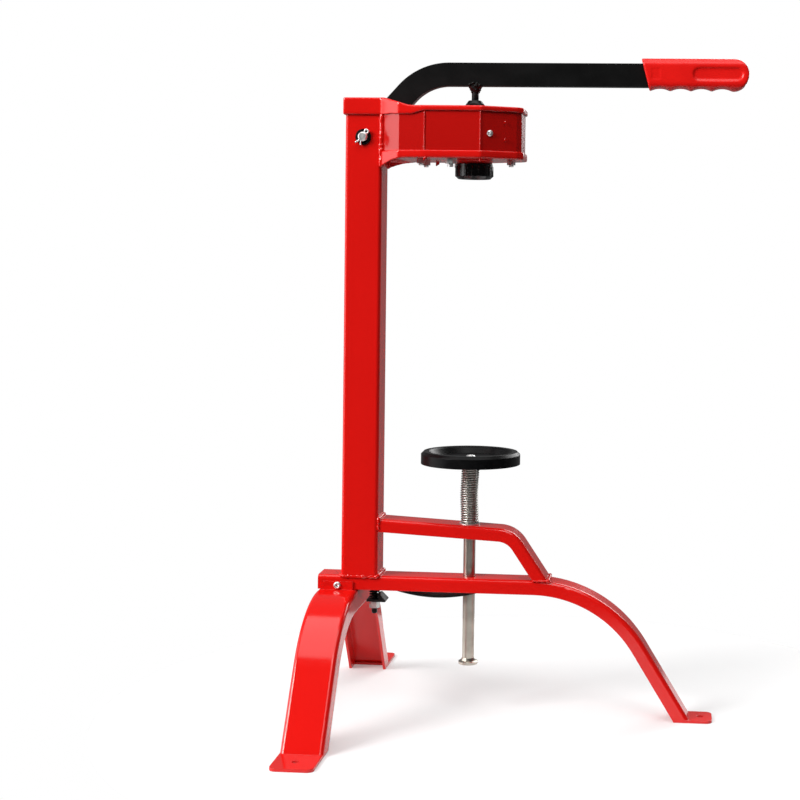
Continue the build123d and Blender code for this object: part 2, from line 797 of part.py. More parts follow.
def make_plunger():
    """Round plunger that follows the cork into the bottle's neck."""
    rod = disc(plunger_d / 2, plunger_tip, nut_bottom, bottle_axis)
    return chamfer(rod.edges().group_by(Axis.Z)[0], 0.8)


# Neck cup

def make_neck_cup():
    """Moulded cup that centres the bottle's neck under the mouth."""
    top = head_bottom - boss_height
    r = cup_d / 2
    bore = neck_d / 2
    roof = top - cup_roof
    spigot = cup_spigot_d / 2 - 0.02
    profile = [
        (bore + 1.5, cup_bottom),
        (r - cup_edge, cup_bottom),
        (r, cup_bottom + cup_edge),
        (r, top),
        (spigot, top),
        (spigot, top + boss_height - 1.0),
        (mouth_d / 2 + 0.2, top + boss_height - 1.0),
        (mouth_d / 2 + 0.2, roof),
        (bore, roof),
        (bore, cup_bottom + 1.5),
    ]
    face = Plane.XZ * make_face(Polyline(*profile, close=True))
    return Pos(bottle_axis, 0, 0) * revolve(face, Axis.Z)


# Platform

spring_low = guide_height(bottle_axis + spring_d / 2) + 0.5 + spring_seat_wall
rod_bottom = bar_top - rod_below
dish_under = dish_top - dish_thick
spring_high = dish_under - dish_hub


def make_dish():
    """Moulded dish that the bottle stands in, ribbed below, with a hub for the rod."""
    r = dish_d / 2
    inner = dish_recess_d / 2
    floor_top = dish_top - dish_recess
    profile = [
        (0, floor_top),
        (inner - 4.0, floor_top),
        (inner, dish_top - 1.5),
        (inner + 1.5, dish_top),
        (r - 3.0, dish_top),
        (r, dish_top - 3.0),
        (r, dish_under),
        (r - dish_wall, dish_under),
        (r - dish_wall, floor_top - dish_wall),
        (0, floor_top - dish_wall),
    ]
    dish = revolve(Plane.XZ * make_face(Polyline(*profile, close=True)), Axis.Z)
    dish += disc(dish_hub_d / 2, spring_high, floor_top - 1)
    rib_low = dish_under + 0.5
    rib = block(dish_hub_d / 2 - 2, r - dish_wall / 2, -rib_half, rib_half, rib_low, floor_top - 1)
    for index in range(dish_ribs):
        dish += Rot(0, 0, 360 / dish_ribs * index) * rib
    dish -= disc(rod_d / 2 + 0.02, spring_high - 5, rod_top + 0.02)
    dish -= disc(platform_screw_d / 2 + 0.5, floor_top - 10, floor_top + 10)
    return Pos(bottle_axis, 0, 0) * dish


rod_top = dish_top - dish_recess - dish_wall + 0.5


def make_rod():
    """Plain round rod, shouldered at its foot for the end cap."""
    rod = disc(rod_d / 2, rod_bottom + 1.0, rod_top, bottle_axis)
    return rod - disc(platform_screw_d / 2, rod_top - 14, rod_top + 1, bottle_axis)


def make_platform_screw():
    """Screw that holds the dish on the rod."""
    floor_top = dish_top - dish_recess
    screw = disc(platform_screw_d / 2, rod_top - 13, floor_top, bottle_axis)
    return screw + dome(platform_screw_head_d / 2, 2.6, floor_top, bottle_axis, 0)


def make_rod_cap():
    """Stop on the rod's foot."""
    cap = disc(rod_cap_d / 2, rod_bottom, rod_bottom + rod_cap_height, bottle_axis)
    cap = chamfer(cap.edges().group_by(Axis.Z)[0] + cap.edges().group_by(Axis.Z)[-1], 1.4)
    return cap - disc(rod_d / 2, rod_bottom + 1.0, rod_bottom + 20, bottle_axis)


def make_platform_spring():
    """Long compression spring between the guide bar and the dish."""
    height = spring_high - spring_low
    coil = coil_spring(spring_d / 2 - spring_wire / 2, spring_wire, height, spring_turns)
    return Pos(bottle_axis, 0, spring_low) * coil


def make_spring_seat():
    """Wedge washer that levels the spring on the sloping guide bar."""
    seat_low = guide_height(bottle_axis) - 6
    ring = disc(spring_d / 2 + 1.5, seat_low, spring_low, bottle_axis)
    ring -= disc(rod_d / 2 + rod_hole_gap, seat_low - 5, spring_low + 5, bottle_axis)
    far = 60
    under = [
        (bottle_axis - far, guide_height(bottle_axis - far)),
        (bottle_axis + far, guide_height(bottle_axis + far)),
        (bottle_axis + far, seat_low - far),
        (bottle_axis - far, seat_low - far),
    ]
    return ring - side_prism(under, 50)


# Lock

def make_lock_lever():
    """Bowed plate that tilts on its bolt and grips the rod."""
    free_end = lock_low + lock_rise
    low = [
        (lock_bolt_x - 10, lock_hold),
        (lock_bolt_x + 10, lock_hold),
        (lock_bolt_x + 25, lock_low + 3.0),
        (lock_bolt_x + 42, lock_low),
        (bottle_axis - 26, lock_low),
        (bottle_axis - 8, free_end - 1.6),
        (bottle_axis + 16, free_end),
    ]
    high = [(x, z + lock_wall) for x, z in reversed(low)]
    plate = side_prism(low + high, lock_width / 2)
    low_end, high_end = lock_low - 10, lock_hold + lock_wall + 10
    plate -= disc(lock_bolt_d / 2 + 0.6, low_end, high_end, lock_bolt_x)
    plate -= disc(rod_d / 2 + 1.2, low_end, high_end, bottle_axis)
    return plate


def make_lock_bolt():
    """Threaded stud welded flush into the base bar's web under the post."""
    shank = disc(lock_bolt_d / 2, bar_top - lock_bolt_length, bar_top, lock_bolt_x)
    return chamfer(shank.edges().group_by(Axis.Z)[0], 1.0)


def make_lock_spring():
    """Short coil under the lock lever."""
    height = lock_hold - 0.2 - lock_seat_top
    return Pos(lock_bolt_x, 0, lock_seat_top) * coil_spring(5.2, 1.6, height, 5)


def make_lock_seat():
    """Pressed seat below the short coil with one lip folded back over it."""
    low = lock_seat_top - lock_seat_wall
    outline = [
        (lock_bolt_x - 7.5, low),
        (lock_bolt_x + 14.0, low),
        (lock_bolt_x + 14.0, low + 1.2),
        (lock_bolt_x + 8.2, lock_seat_top + 5.5),
        (lock_bolt_x + 6.9, lock_seat_top + 4.8),
        (lock_bolt_x + 9.4, lock_seat_top),
        (lock_bolt_x - 7.5, lock_seat_top),
    ]
    return side_prism(outline, 10.0) - disc(lock_bolt_d / 2, low - 5, lock_seat_top + 10, lock_bolt_x)


def make_lock_nut():
    """Nut that sets the short coil's load."""
    top = lock_seat_top - lock_seat_wall
    nut = hexagon(lock_nut_af, top - lock_nut_height, top, lock_bolt_x)
    return nut - disc(lock_bolt_d / 2, top - lock_nut_height - 5, top + 5, lock_bolt_x)


# Fasteners

def dome(radius, height, z, x, y):
    """Low domed head standing on a height."""
    head = disc(radius, z, z + height, x, y)
    return chamfer(head.edges().group_by(Axis.Z)[-1], height * 0.45)


def make_head_bolts():
    """Long bolts through cover and tray, domed on top."""
    group = []
    for x, y, d in head_bolt_places:
        bolt = disc(d / 2, head_bottom - 6.5, head_top, x, y)
        group.append(bolt + dome(d / 2 + 3.2, 2.2, head_top, x, y))
    return Compound(children=group)


def make_head_nuts():
    """Nuts under the tray on the long bolts."""
    group = []
    for x, y, d in head_bolt_places:
        nut = hexagon(8.0, head_bottom - 4.5, head_bottom, x, y)
        group.append(nut - disc(d / 2, head_bottom - 20, head_bottom + 1, x, y))
    return Compound(children=group)


def make_tray_bolts():
    """Short bolts that stiffen the tray beside the throat."""
    group = []
    floor_z = head_bottom + sheet
    for x, y, d in tray_bolt_places:
        bolt = disc(d / 2, head_bottom - 9.0, floor_z, x, y)
        group.append(bolt + disc(4.4, floor_z, floor_z + 2.0, x, y))
    return Compound(children=group)


def make_tray_nuts():
    """Nuts on the short tray bolts."""
    group = []
    for x, y, d in tray_bolt_places:
        nut = hexagon(10.0, head_bottom - 5.5, head_bottom, x, y)
        group.append(nut - disc(d / 2, head_bottom - 20, head_bottom + 1, x, y))
    return Compound(children=group)


def make_side_screws():
    """Screw through each chamfered side into the fixed V-block."""
    group = []
    for side in (-1, 1):
        axis = side_screw_axis(side)
        shank = Pos(0, 0, -5.0) * Cylinder(side_screw_d / 2, 10.0)
        group.append(axis * (shank + dome(3.4, 1.8, 0, 0, 0)))
    return Compound(children=group)


def make_leg_bolt():
    """Cross bolt that holds the rear legs to the base bar."""
    out = bar_width / 2 + ear_gap + ear_wall
    bolt = cross_rod(leg_bolt_d / 2, -out, out + 5.0, leg_centre, leg_bolt_z)
    head = cross_rod(leg_bolt_d / 2 + 1.4, -out - 2.4, -out, leg_centre, leg_bolt_z)
    return bolt + chamfer(head.edges().group_by(Axis.Y)[0], 1.0)


def make_leg_nut():
    """Nut at the back of the cross bolt."""
    out = bar_width / 2 + ear_gap + ear_wall
    nut = Pos(leg_centre, out + 4.0, leg_bolt_z) * Rot(90, 0, 0) * hexagon(8.0, 0.0, 4.0)
    return nut - cross_rod(leg_bolt_d / 2, 0, 60, leg_centre, leg_bolt_z)


# Assembly

jaw_fixed, jaw_front, jaw_rear, jaw_back = make_jaws()

nodes = {
    "base_bar": make_base_bar(),
    "rear_legs": make_rear_legs(),
    "post": make_post(),
    "guide_bar": make_guide_bar(),
    "bottom_tray": make_tray(),
    "side_wall": make_side_wall(),
    "top_cover": make_cover(),
    "jaw_housing": make_housing(),
    "jaw_fixed": jaw_fixed,
    "jaw_front": jaw_front,
    "jaw_rear": jaw_rear,
    "jaw_back": jaw_back,
    "jaw_pusher": make_pusher(),
    "jaw_return_springs": make_return_springs(),
    "lever_bar": make_lever(),
    "lever_grip": make_grip(),
    "roller_pin": make_roller_pin(),
    "cam_rollers": make_rollers(),
    "pivot_pin": make_pivot_pin(),
    "pivot_washers": make_pivot_washers(),
    "pivot_spacers": make_pivot_spacers(),
    "split_pin": make_split_pin(),
    "plunger_stud": make_stud(),
    "plunger_nut": make_plunger_nut(),
    "plunger_rod": make_plunger(),
    "neck_cup": make_neck_cup(),
    "platform_dish": make_dish(),
    "platform_rod": make_rod(),
    "platform_screw": make_platform_screw(),
    "rod_cap": make_rod_cap(),
    "platform_spring": make_platform_spring(),
    "spring_seat": make_spring_seat(),
    "lock_lever": make_lock_lever(),
    "lock_bolt": make_lock_bolt(),
    "lock_spring": make_lock_spring(),
    "lock_seat": make_lock_seat(),
    "lock_nut": make_lock_nut(),
    "head_bolts": make_head_bolts(),
    "head_nuts": make_head_nuts(),
    "tray_bolts": make_tray_bolts(),
    "tray_nuts": make_tray_nuts(),
    "side_screws": make_side_screws(),
    "leg_bolt": make_leg_bolt(),
    "leg_nut": make_leg_nut(),
}

# The finished part's origin is on the floor, under the middle of its overall box.
boxes = [shape.bounding_box() for shape in nodes.values()]
middle_x = (min(box.min.X for box in boxes) + max(box.max.X for box in boxes)) / 2
middle_y = (min(box.min.Y for box in boxes) + max(box.max.Y for box in boxes)) / 2

os.makedirs("parts", exist_ok=True)
for name, shape in nodes.items():
    export_step(Pos(-middle_x, -middle_y, 0) * shape, f"parts/{name}.step")
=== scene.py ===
import random
import bpy
import bmesh
from math import pi, sin, cos, radians
from mathutils import Matrix, Vector


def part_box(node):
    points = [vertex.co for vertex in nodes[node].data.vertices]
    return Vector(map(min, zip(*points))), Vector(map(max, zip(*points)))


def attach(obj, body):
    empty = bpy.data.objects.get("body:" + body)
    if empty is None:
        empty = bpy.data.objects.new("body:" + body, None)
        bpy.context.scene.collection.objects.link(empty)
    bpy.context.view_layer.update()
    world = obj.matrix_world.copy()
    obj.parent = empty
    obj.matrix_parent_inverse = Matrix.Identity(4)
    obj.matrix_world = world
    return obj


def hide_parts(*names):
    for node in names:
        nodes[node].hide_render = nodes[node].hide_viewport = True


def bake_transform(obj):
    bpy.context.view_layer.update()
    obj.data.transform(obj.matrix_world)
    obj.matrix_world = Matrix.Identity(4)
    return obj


# A floor-standing bottle corker: red enamelled steel, a black lever with a red grip,
# and a sprung black dish on a plated rod. Everything is in metres, Z is up, and the
# post stands at x = -0.1831 with the bottle's axis at x = -0.0651.

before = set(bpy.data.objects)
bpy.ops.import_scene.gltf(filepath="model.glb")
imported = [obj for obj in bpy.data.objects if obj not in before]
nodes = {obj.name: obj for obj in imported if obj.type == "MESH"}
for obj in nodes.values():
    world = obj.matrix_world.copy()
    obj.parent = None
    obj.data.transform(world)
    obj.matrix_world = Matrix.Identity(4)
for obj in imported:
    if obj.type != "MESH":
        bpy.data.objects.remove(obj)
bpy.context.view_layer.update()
mm = 0.001

print("stage: camera and light")

camera = {
    "place": (0.14956, -1.70278, 0.49413),
    "turn": radians(4.3757),        # round the object, to the right of straight on
    "tilt": radians(1.8108),        # looking slightly down
    "roll": radians(0.8358),
    "lens": 71.054,
    "sensor": 36,
    "shiftX": -0.1875,              # the photograph looks like the lower left of a wider shot
    "shiftY": -0.1125,
    "near": 0.01,
    "far": 100,
}

optics = bpy.data.cameras.new("camera")
optics.lens = camera["lens"]
optics.sensor_width = camera["sensor"]
optics.shift_x = camera["shiftX"]
optics.shift_y = camera["shiftY"]
optics.clip_start = camera["near"]
optics.clip_end = camera["far"]
eye = bpy.data.objects.new("camera", optics)
eye.matrix_world = (
    Matrix.Translation(camera["place"])
    @ Matrix.Rotation(camera["turn"], 4, "Z")
    @ Matrix.Rotation(pi / 2 - camera["tilt"], 4, "X")
    @ Matrix.Rotation(camera["roll"], 4, "Z")
)
bpy.context.scene.collection.objects.link(eye)
bpy.context.scene.camera = eye


# colours are sRGB hex, nodes want linear
def colour(code):
    parts = [int(code[i:i + 2], 16) / 255 for i in (0, 2, 4)]
    parts = [p / 12.92 if p <= 0.04045 else ((p + 0.055) / 1.055) ** 2.4 for p in parts]
    return (*parts, 1.0)


# soft boxes at the left, above, behind and on the camera's side
studio = {
    "left": {"place": (-2.2, -0.25, 0.8), "aim": (-0.1, 0, 0.4), "size": (2.0, 2.0), "power": 27},
    "key": {"place": (-2.3, -1.75, 1.9), "aim": (-0.1, 0, 0.35), "size": (1.3, 1.3), "power": 104},
    "top": {"place": (-0.1, -0.35, 2.4), "aim": (0, 0, 0.3), "size": (2.4, 2.0), "power": 34},
    "back": {"place": (0.9, 1.9, 1.4), "aim": (0, 0, 0.3), "size": (1.4, 1.4), "power": 32},
    "fill": {"place": (0.5, -1.6, 2.4), "aim": (0, 0, 0.4), "size": (1.2, 1.2), "power": 14},
}
for name, spec in studio.items():
    lamp = bpy.data.lights.new(name, "AREA")
    lamp.shape = "RECTANGLE"
    lamp.size, lamp.size_y = spec["size"]
    lamp.energy = spec["power"]
    lampObject = bpy.data.objects.new(name, lamp)
    lampObject.location = spec["place"]
    aim = Vector(spec["aim"]) - Vector(spec["place"])
    lampObject.rotation_euler = aim.to_track_quat("-Z", "Y").to_euler()
    bpy.context.scene.collection.objects.link(lampObject)


# links are given as input name: (node, output name)
def connect(tree, node, links):
    for key, (source, output) in links.items():
        tree.links.new(source.outputs[output], node.inputs[key])


# one node with its settings, input values and links
def add(tree, kind, settings=None, values=None, links=None):
    node = tree.nodes.new(kind)
    for key, value in (settings or {}).items():
        setattr(node, key, value)
    for key, value in (values or {}).items():
        node.inputs[key].default_value = value
    connect(tree, node, links or {})
    return node


def blendStops(node, stops):
    ramp = node.color_ramp
    while len(ramp.elements) > 1:
        ramp.elements.remove(ramp.elements[-1])
    ramp.elements[0].position = stops[0][0]
    ramp.elements[0].color = stops[0][1]
    for position, value in stops[1:]:
        ramp.elements.new(position).color = value


def grey(value):
    return (value, value, value, 1.0)


# the sweep is white straight on; what it throws on the object falls off towards the front
room = {"sweep": 0.2, "side": 0.08, "front": 0.03}
roomStops = [(0.0, "front"), (0.42, "front"), (0.55, "side"), (0.85, "sweep"), (1.0, "sweep")]
world = bpy.data.worlds.new("studio")
world.use_nodes = True
tree = world.node_tree
way = add(tree, "ShaderNodeTexCoord")
parts = add(tree, "ShaderNodeSeparateXYZ", links={"Vector": (way, "Generated")})
depth = add(tree, "ShaderNodeMapRange", values={"From Min": -1.0, "From Max": 1.0},
            links={"Value": (parts, "Y")})
glow = add(tree, "ShaderNodeValToRGB", links={"Fac": (depth, "Result")})
blendStops(glow, [(share, grey(room[part])) for share, part in roomStops])
seen = add(tree, "ShaderNodeLightPath")
pick = add(tree, "ShaderNodeMix", {"data_type": "RGBA"},
           links={"Factor": (seen, "Is Camera Ray"), "A": (glow, "Color")})
pick.inputs["B"].default_value = grey(1.0)
connect(tree, tree.nodes["Background"], {"Color": (pick, "Result")})
bpy.context.scene.world = world
bpy.context.scene.view_settings.view_transform = "Standard"


print("stage: materials")


def newMaterial(name):
    material = bpy.data.materials.new(name)
    material.use_nodes = True
    tree = material.node_tree
    shader = tree.nodes["Principled BSDF"]
    place = add(tree, "ShaderNodeTexCoord")
    return material, tree, shader, place


# stoved gloss enamel on pressed steel: deep red with wet, tight highlights, patches of tone
# 11 cm wide and orange peel in lumps of 3 mm; browner where it drew back from an edge
def makeRedEnamel(name, deep, bright):
    material, tree, shader, place = newMaterial(name)
    patches = add(tree, "ShaderNodeTexNoise", values={"Scale": 9.0, "Detail": 1.0},
                  links={"Vector": (place, "Object")})
    tone = add(tree, "ShaderNodeValToRGB", links={"Fac": (patches, "Fac")})
    blendStops(tone, [(0.2, colour(deep)), (0.8, colour(bright))])
    peel = add(tree, "ShaderNodeTexNoise", values={"Scale": 330.0, "Detail": 0.0},
               links={"Vector": (place, "Object")})
    sheen = add(tree, "ShaderNodeMapRange", values={"To Min": 0.1, "To Max": 0.17},
                links={"Value": (patches, "Fac")})
    soft = add(tree, "ShaderNodeBevel", {"samples": 6}, {"Radius": 1.0 * mm})
    bump = add(tree, "ShaderNodeBump", values={"Strength": 0.025, "Distance": 0.1 * mm},
               links={"Height": (peel, "Fac"), "Normal": (soft, "Normal")})
    flat = add(tree, "ShaderNodeNewGeometry")
    turned = add(tree, "ShaderNodeVectorMath", {"operation": "DOT_PRODUCT"})
    tree.links.new(soft.outputs["Normal"], turned.inputs[0])
    tree.links.new(flat.outputs["Normal"], turned.inputs[1])
    edge = add(tree, "ShaderNodeMapRange", values={"From Min": 0.98, "From Max": 0.86, "To Max": 0.35},
               links={"Value": (turned, "Value")})
    worn = add(tree, "ShaderNodeMix", {"data_type": "RGBA"},
               links={"Factor": (edge, "Result"), "A": (tone, "Color")})
    worn.inputs["B"].default_value = colour("8E0D09")
    connect(tree, shader, {"Base Color": (worn, "Result"), "Roughness": (sheen, "Result"),
                           "Normal": (bump, "Normal")})
    return material


# injection moulded vinyl grip: a brighter, softer and more even red than the paint's; its
# grain is drawn 1 mm wide, coarser than the real one, so that it shows
def makeRedVinyl():
    material, tree, shader, place = newMaterial("redMouldedVinyl")
    grain = add(tree, "ShaderNodeTexNoise", values={"Scale": 900.0, "Detail": 2.0},
                links={"Vector": (place, "Object")})
    patches = add(tree, "ShaderNodeTexNoise", values={"Scale": 30.0},
                  links={"Vector": (place, "Object")})
    tone = add(tree, "ShaderNodeValToRGB", links={"Fac": (patches, "Fac")})
    blendStops(tone, [(0.3, colour("DE1410")), (0.7, colour("E81813"))])
    bump = add(tree, "ShaderNodeBump", values={"Strength": 0.06, "Distance": 0.05 * mm},
               links={"Height": (grain, "Fac")})
    connect(tree, shader, {"Base Color": (tone, "Color"), "Normal": (bump, "Normal")})
    shader.inputs["Roughness"].default_value = 0.3
    shader.inputs["Specular IOR Level"].default_value = 0.28
    return material


# black powder coat on the lever: satin, with the pebble of cured powder 0.9 mm wide, coarser
# than the real one so that it shows, and rubbed patches of 2 cm
def makeBlackPowder():
    material, tree, shader, place = newMaterial("blackPowderCoat")
    pebble = add(tree, "ShaderNodeTexNoise", values={"Scale": 1100.0, "Detail": 2.0},
                 links={"Vector": (place, "Object")})
    rub = add(tree, "ShaderNodeTexNoise", values={"Scale": 45.0, "Detail": 4.0},
              links={"Vector": (place, "Object")})
    tone = add(tree, "ShaderNodeValToRGB", links={"Fac": (rub, "Fac")})
    blendStops(tone, [(0.35, colour("050505")), (0.75, colour("0A0A0A"))])
    rough = add(tree, "ShaderNodeMapRange", values={"To Min": 0.34, "To Max": 0.52},
                links={"Value": (rub, "Fac")})
    soft = add(tree, "ShaderNodeBevel", {"samples": 4}, {"Radius": 0.8 * mm})
    bump = add(tree, "ShaderNodeBump", values={"Strength": 0.25, "Distance": 0.05 * mm},
               links={"Height": (pebble, "Fac"), "Normal": (soft, "Normal")})
    connect(tree, shader, {"Base Color": (tone, "Color"), "Roughness": (rough, "Result"),
                           "Normal": (bump, "Normal")})
    shader.inputs["Specular IOR Level"].default_value = 0.16
    return material


# moulded black nylon of the dish and neck cup: deep black, with faint flow marks in the
# gloss, about 17 mm wide
def makeBlackNylon(name, smooth, gloss):
    material, tree, shader, place = newMaterial(name)
    flow = add(tree, "ShaderNodeTexNoise", values={"Scale": 60.0, "Detail": 3.0, "Distortion": 1.5},
               links={"Vector": (place, "Object")})
    rough = add(tree, "ShaderNodeMapRange", values={"To Min": smooth, "To Max": smooth + 0.12},
                links={"Value": (flow, "Fac")})
    tone = add(tree, "ShaderNodeValToRGB", links={"Fac": (flow, "Fac")})
    blendStops(tone, [(0.3, colour("070708")), (0.8, colour("101011"))])
    soft = add(tree, "ShaderNodeBevel", {"samples": 4}, {"Radius": 0.6 * mm})
    bump = add(tree, "ShaderNodeBump", values={"Strength": 0.08, "Distance": 0.2 * mm},
               links={"Height": (flow, "Fac"), "Normal": (soft, "Normal")})
    connect(tree, shader, {"Base Color": (tone, "Color"), "Roughness": (rough, "Result"),
                           "Normal": (bump, "Normal")})
    shader.inputs["Specular IOR Level"].default_value = gloss
    return material


# bright zinc plating on bolts, nuts and washers: cool light grey, clouded every 4 mm
def makeZinc():
    material, tree, shader, place = newMaterial("brightZincPlate")
    cloud = add(tree, "ShaderNodeTexNoise", values={"Scale": 260.0, "Detail": 4.0},
                links={"Vector": (place, "Object")})
    tone = add(tree, "ShaderNodeValToRGB", links={"Fac": (cloud, "Fac")})
    blendStops(tone, [(0.3, colour("D2D4D6")), (0.7, colour("F4F5F2"))])
    rough = add(tree, "ShaderNodeMapRange", values={"To Min": 0.22, "To Max": 0.45},
                links={"Value": (cloud, "Fac")})
    bump = add(tree, "ShaderNodeBump", values={"Strength": 0.15, "Distance": 0.05 * mm},
               links={"Height": (cloud, "Fac")})
    connect(tree, shader, {"Base Color": (tone, "Color"), "Roughness": (rough, "Result"),
                           "Normal": (bump, "Normal")})
    shader.inputs["Metallic"].default_value = 0.8
    return material


# dull nickel on the drawn rod: warm grey with lengthwise draw lines, 1 mm wide so that they
# show, and stains of 25 mm
def makeNickel():
    material, tree, shader, place = newMaterial("dullNickelRod")
    stretch = add(tree, "ShaderNodeMapping", values={"Scale": (1.0, 1.0, 0.02)},
                  links={"Vector": (place, "Object")})
    lines = add(tree, "ShaderNodeTexNoise", values={"Scale": 1000.0, "Detail": 3.0},
                links={"Vector": (stretch, "Vector")})
    stain = add(tree, "ShaderNodeTexNoise", values={"Scale": 40.0, "Detail": 3.0},
                links={"Vector": (place, "Object")})
    tone = add(tree, "ShaderNodeValToRGB", links={"Fac": (stain, "Fac")})
    blendStops(tone, [(0.3, colour("ACA69B")), (0.7, colour("D8D2C6"))])
    rough = add(tree, "ShaderNodeMapRange", values={"To Min": 0.24, "To Max": 0.42},
                links={"Value": (lines, "Fac")})
    bump = add(tree, "ShaderNodeBump", values={"Strength": 0.12, "Distance": 0.05 * mm},
               links={"Height": (lines, "Fac")})
    connect(tree, shader, {"Base Color": (tone, "Color"), "Roughness": (rough, "Result"),
                           "Normal": (bump, "Normal")})
    shader.inputs["Metallic"].default_value = 1.0
    return material


# oiled spring wire: a grey with tight glints and streaks of 2 mm from the drawing
def makeSpringWire():
    material, tree, shader, place = newMaterial("oiledSpringWire")
    streak = add(tree, "ShaderNodeTexNoise", values={"Scale": 500.0, "Detail": 3.0},
                 links={"Vector": (place, "Object")})
    tone = add(tree, "ShaderNodeValToRGB", links={"Fac": (streak, "Fac")})
    blendStops(tone, [(0.3, colour("96948F")), (0.7, colour("D0CFCA"))])
    rough = add(tree, "ShaderNodeMapRange", values={"To Min": 0.26, "To Max": 0.38},
                links={"Value": (streak, "Fac")})
    connect(tree, shader, {"Base Color": (tone, "Color"), "Roughness": (rough, "Result")})
    shader.inputs["Metallic"].default_value = 0.9
    return material


# black phosphated steel of the lock and stud: dark, slightly oily, with a bloom of 6 mm
def makeBlackSteel():
    material, tree, shader, place = newMaterial("blackPhosphateSteel")
    bloom = add(tree, "ShaderNodeTexNoise", values={"Scale": 180.0, "Detail": 4.0},
                links={"Vector": (place, "Object")})
    tone = add(tree, "ShaderNodeValToRGB", links={"Fac": (bloom, "Fac")})
    blendStops(tone, [(0.35, colour("121213")), (0.75, colour("2B2A29"))])
    rough = add(tree, "ShaderNodeMapRange", values={"To Min": 0.28, "To Max": 0.5},
                links={"Value": (bloom, "Fac")})
    bump = add(tree, "ShaderNodeBump", values={"Strength": 0.2, "Distance": 0.05 * mm},
               links={"Height": (bloom, "Fac")})
    connect(tree, shader, {"Base Color": (tone, "Color"), "Roughness": (rough, "Result"),
                           "Normal": (bump, "Normal")})
    shader.inputs["Metallic"].default_value = 0.7
    return material


# milled brass of the jaws: yellow, with blotches of 3 mm where the cutter left its marks
def makeBrass():
    material, tree, shader, place = newMaterial("milledBrass")
    mark = add(tree, "ShaderNodeTexNoise", values={"Scale": 300.0, "Detail": 4.0},
               links={"Vector": (place, "Object")})
    tone = add(tree, "ShaderNodeValToRGB", links={"Fac": (mark, "Fac")})
    blendStops(tone, [(0.3, colour("A88440")), (0.7, colour("D9B76A"))])
    rough = add(tree, "ShaderNodeMapRange", values={"To Min": 0.25, "To Max": 0.45},
                links={"Value": (mark, "Fac")})
    connect(tree, shader, {"Base Color": (tone, "Color"), "Roughness": (rough, "Result")})
    shader.inputs["Metallic"].default_value = 1.0
    return material


# matt white studio card with a barely visible tooth, which glows by itself
def makeCard(glow):
    material, tree, shader, place = newMaterial("studioCard")
    tooth = add(tree, "ShaderNodeTexNoise", values={"Scale": 8.0, "Detail": 2.0},
                links={"Vector": (place, "Object")})
    tone = add(tree, "ShaderNodeValToRGB", links={"Fac": (tooth, "Fac")})
    blendStops(tone, [(0.0, colour("CACACA")), (1.0, colour("CECECE"))])
    connect(tree, shader, {"Base Color": (tone, "Color")})
    shader.inputs["Roughness"].default_value = 0.9
    shader.inputs["Specular IOR Level"].default_value = 0.0
    shader.inputs["Emission Color"].default_value = grey(1.0)
    shader.inputs["Emission Strength"].default_value = glow
    return material


redEnamel = makeRedEnamel("redStovedEnamel", "CE120D", "D8140F")
# a darker copy of the same enamel for the head's wall: painted shade for the wall recessed under the cover's
# lip
shadedWallEnamel = makeRedEnamel("redStovedEnamelShadedWall", "AE0E0A", "B8100C")
redVinyl = makeRedVinyl()
blackPowder = makeBlackPowder()
blackNylon = makeBlackNylon("blackMouldedNylon", 0.28, 0.12)
# the cup came out of a polished mould
cupNylon = makeBlackNylon("blackPolishedNylon", 0.14, 0.6)
zinc = makeZinc()
nickel = makeNickel()
springWire = makeSpringWire()
blackSteel = makeBlackSteel()
brass = makeBrass()

finishes = [
    (redEnamel, ["base_bar", "rear_legs", "post", "guide_bar", "bottom_tray", "top_cover"]),
    # the head's wall takes the darker copy of the enamel, its painted shade
    (shadedWallEnamel, ["side_wall"]),
    (redVinyl, ["lever_grip"]),
    (blackPowder, ["lever_bar"]),
    (blackNylon, ["platform_dish"]),
    (cupNylon, ["neck_cup"]),
    (zinc, ["head_bolts", "head_nuts", "tray_bolts", "tray_nuts", "side_screws", "pivot_pin",
            "pivot_spacers", "split_pin", "leg_bolt", "leg_nut", "platform_screw", "lock_nut",
            "spring_seat", "roller_pin", "cam_rollers"]),
    (nickel, ["platform_rod", "rod_cap", "plunger_rod"]),
    (springWire, ["jaw_return_springs", "platform_spring"]),
    (blackSteel, ["lock_bolt", "lock_spring", "lock_seat", "lock_lever", "plunger_nut",
                  "plunger_stud", "pivot_washers", "jaw_housing", "jaw_pusher"]),
    (brass, ["jaw_fixed", "jaw_front", "jaw_rear", "jaw_back"]),
]
for material, members in finishes:
    for name in members:
        mesh = nodes[name].data
        mesh.materials.clear()
        mesh.materials.append(material)


print("stage: wires and springs")

merge = 0.01 * mm
sharpTurn = radians(35)


def middle(name):
    low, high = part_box(name)
    return (Vector(low) + Vector(high)) / 2


def corners(name):
    low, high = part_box(name)
    return Vector(low), Vector(high)


def finishPiece(bm, name, material, body, sharp=sharpTurn):
    bmesh.ops.remove_doubles(bm, verts=bm.verts, dist=merge)
    bmesh.ops.recalc_face_normals(bm, faces=bm.faces)
    for face in bm.faces:
        face.smooth = True
    mesh = bpy.data.meshes.new(name)
    bm.to_mesh(mesh)
    bm.free()
    mesh.set_sharp_from_angle(angle=sharp)
    mesh.materials.append(material)
    piece = bpy.data.objects.new(name, mesh)
    bpy.context.scene.collection.objects.link(piece)
    if body:
        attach(piece, body)
    return piece


# the mesh of an object with its modifiers, or of a curve with its bevel
def bakedMesh(thing):
    bpy.context.view_layer.update()
    return bpy.data.meshes.new_from_object(thing.evaluated_get(bpy.context.evaluated_depsgraph_get()))


# bakes a piece's modifiers into its mesh
def applyModifiers(piece):
    baked = bakedMesh(piece)
    piece.modifiers.clear()
    piece.data = baked
    for face in baked.polygons:
        face.use_smooth = True


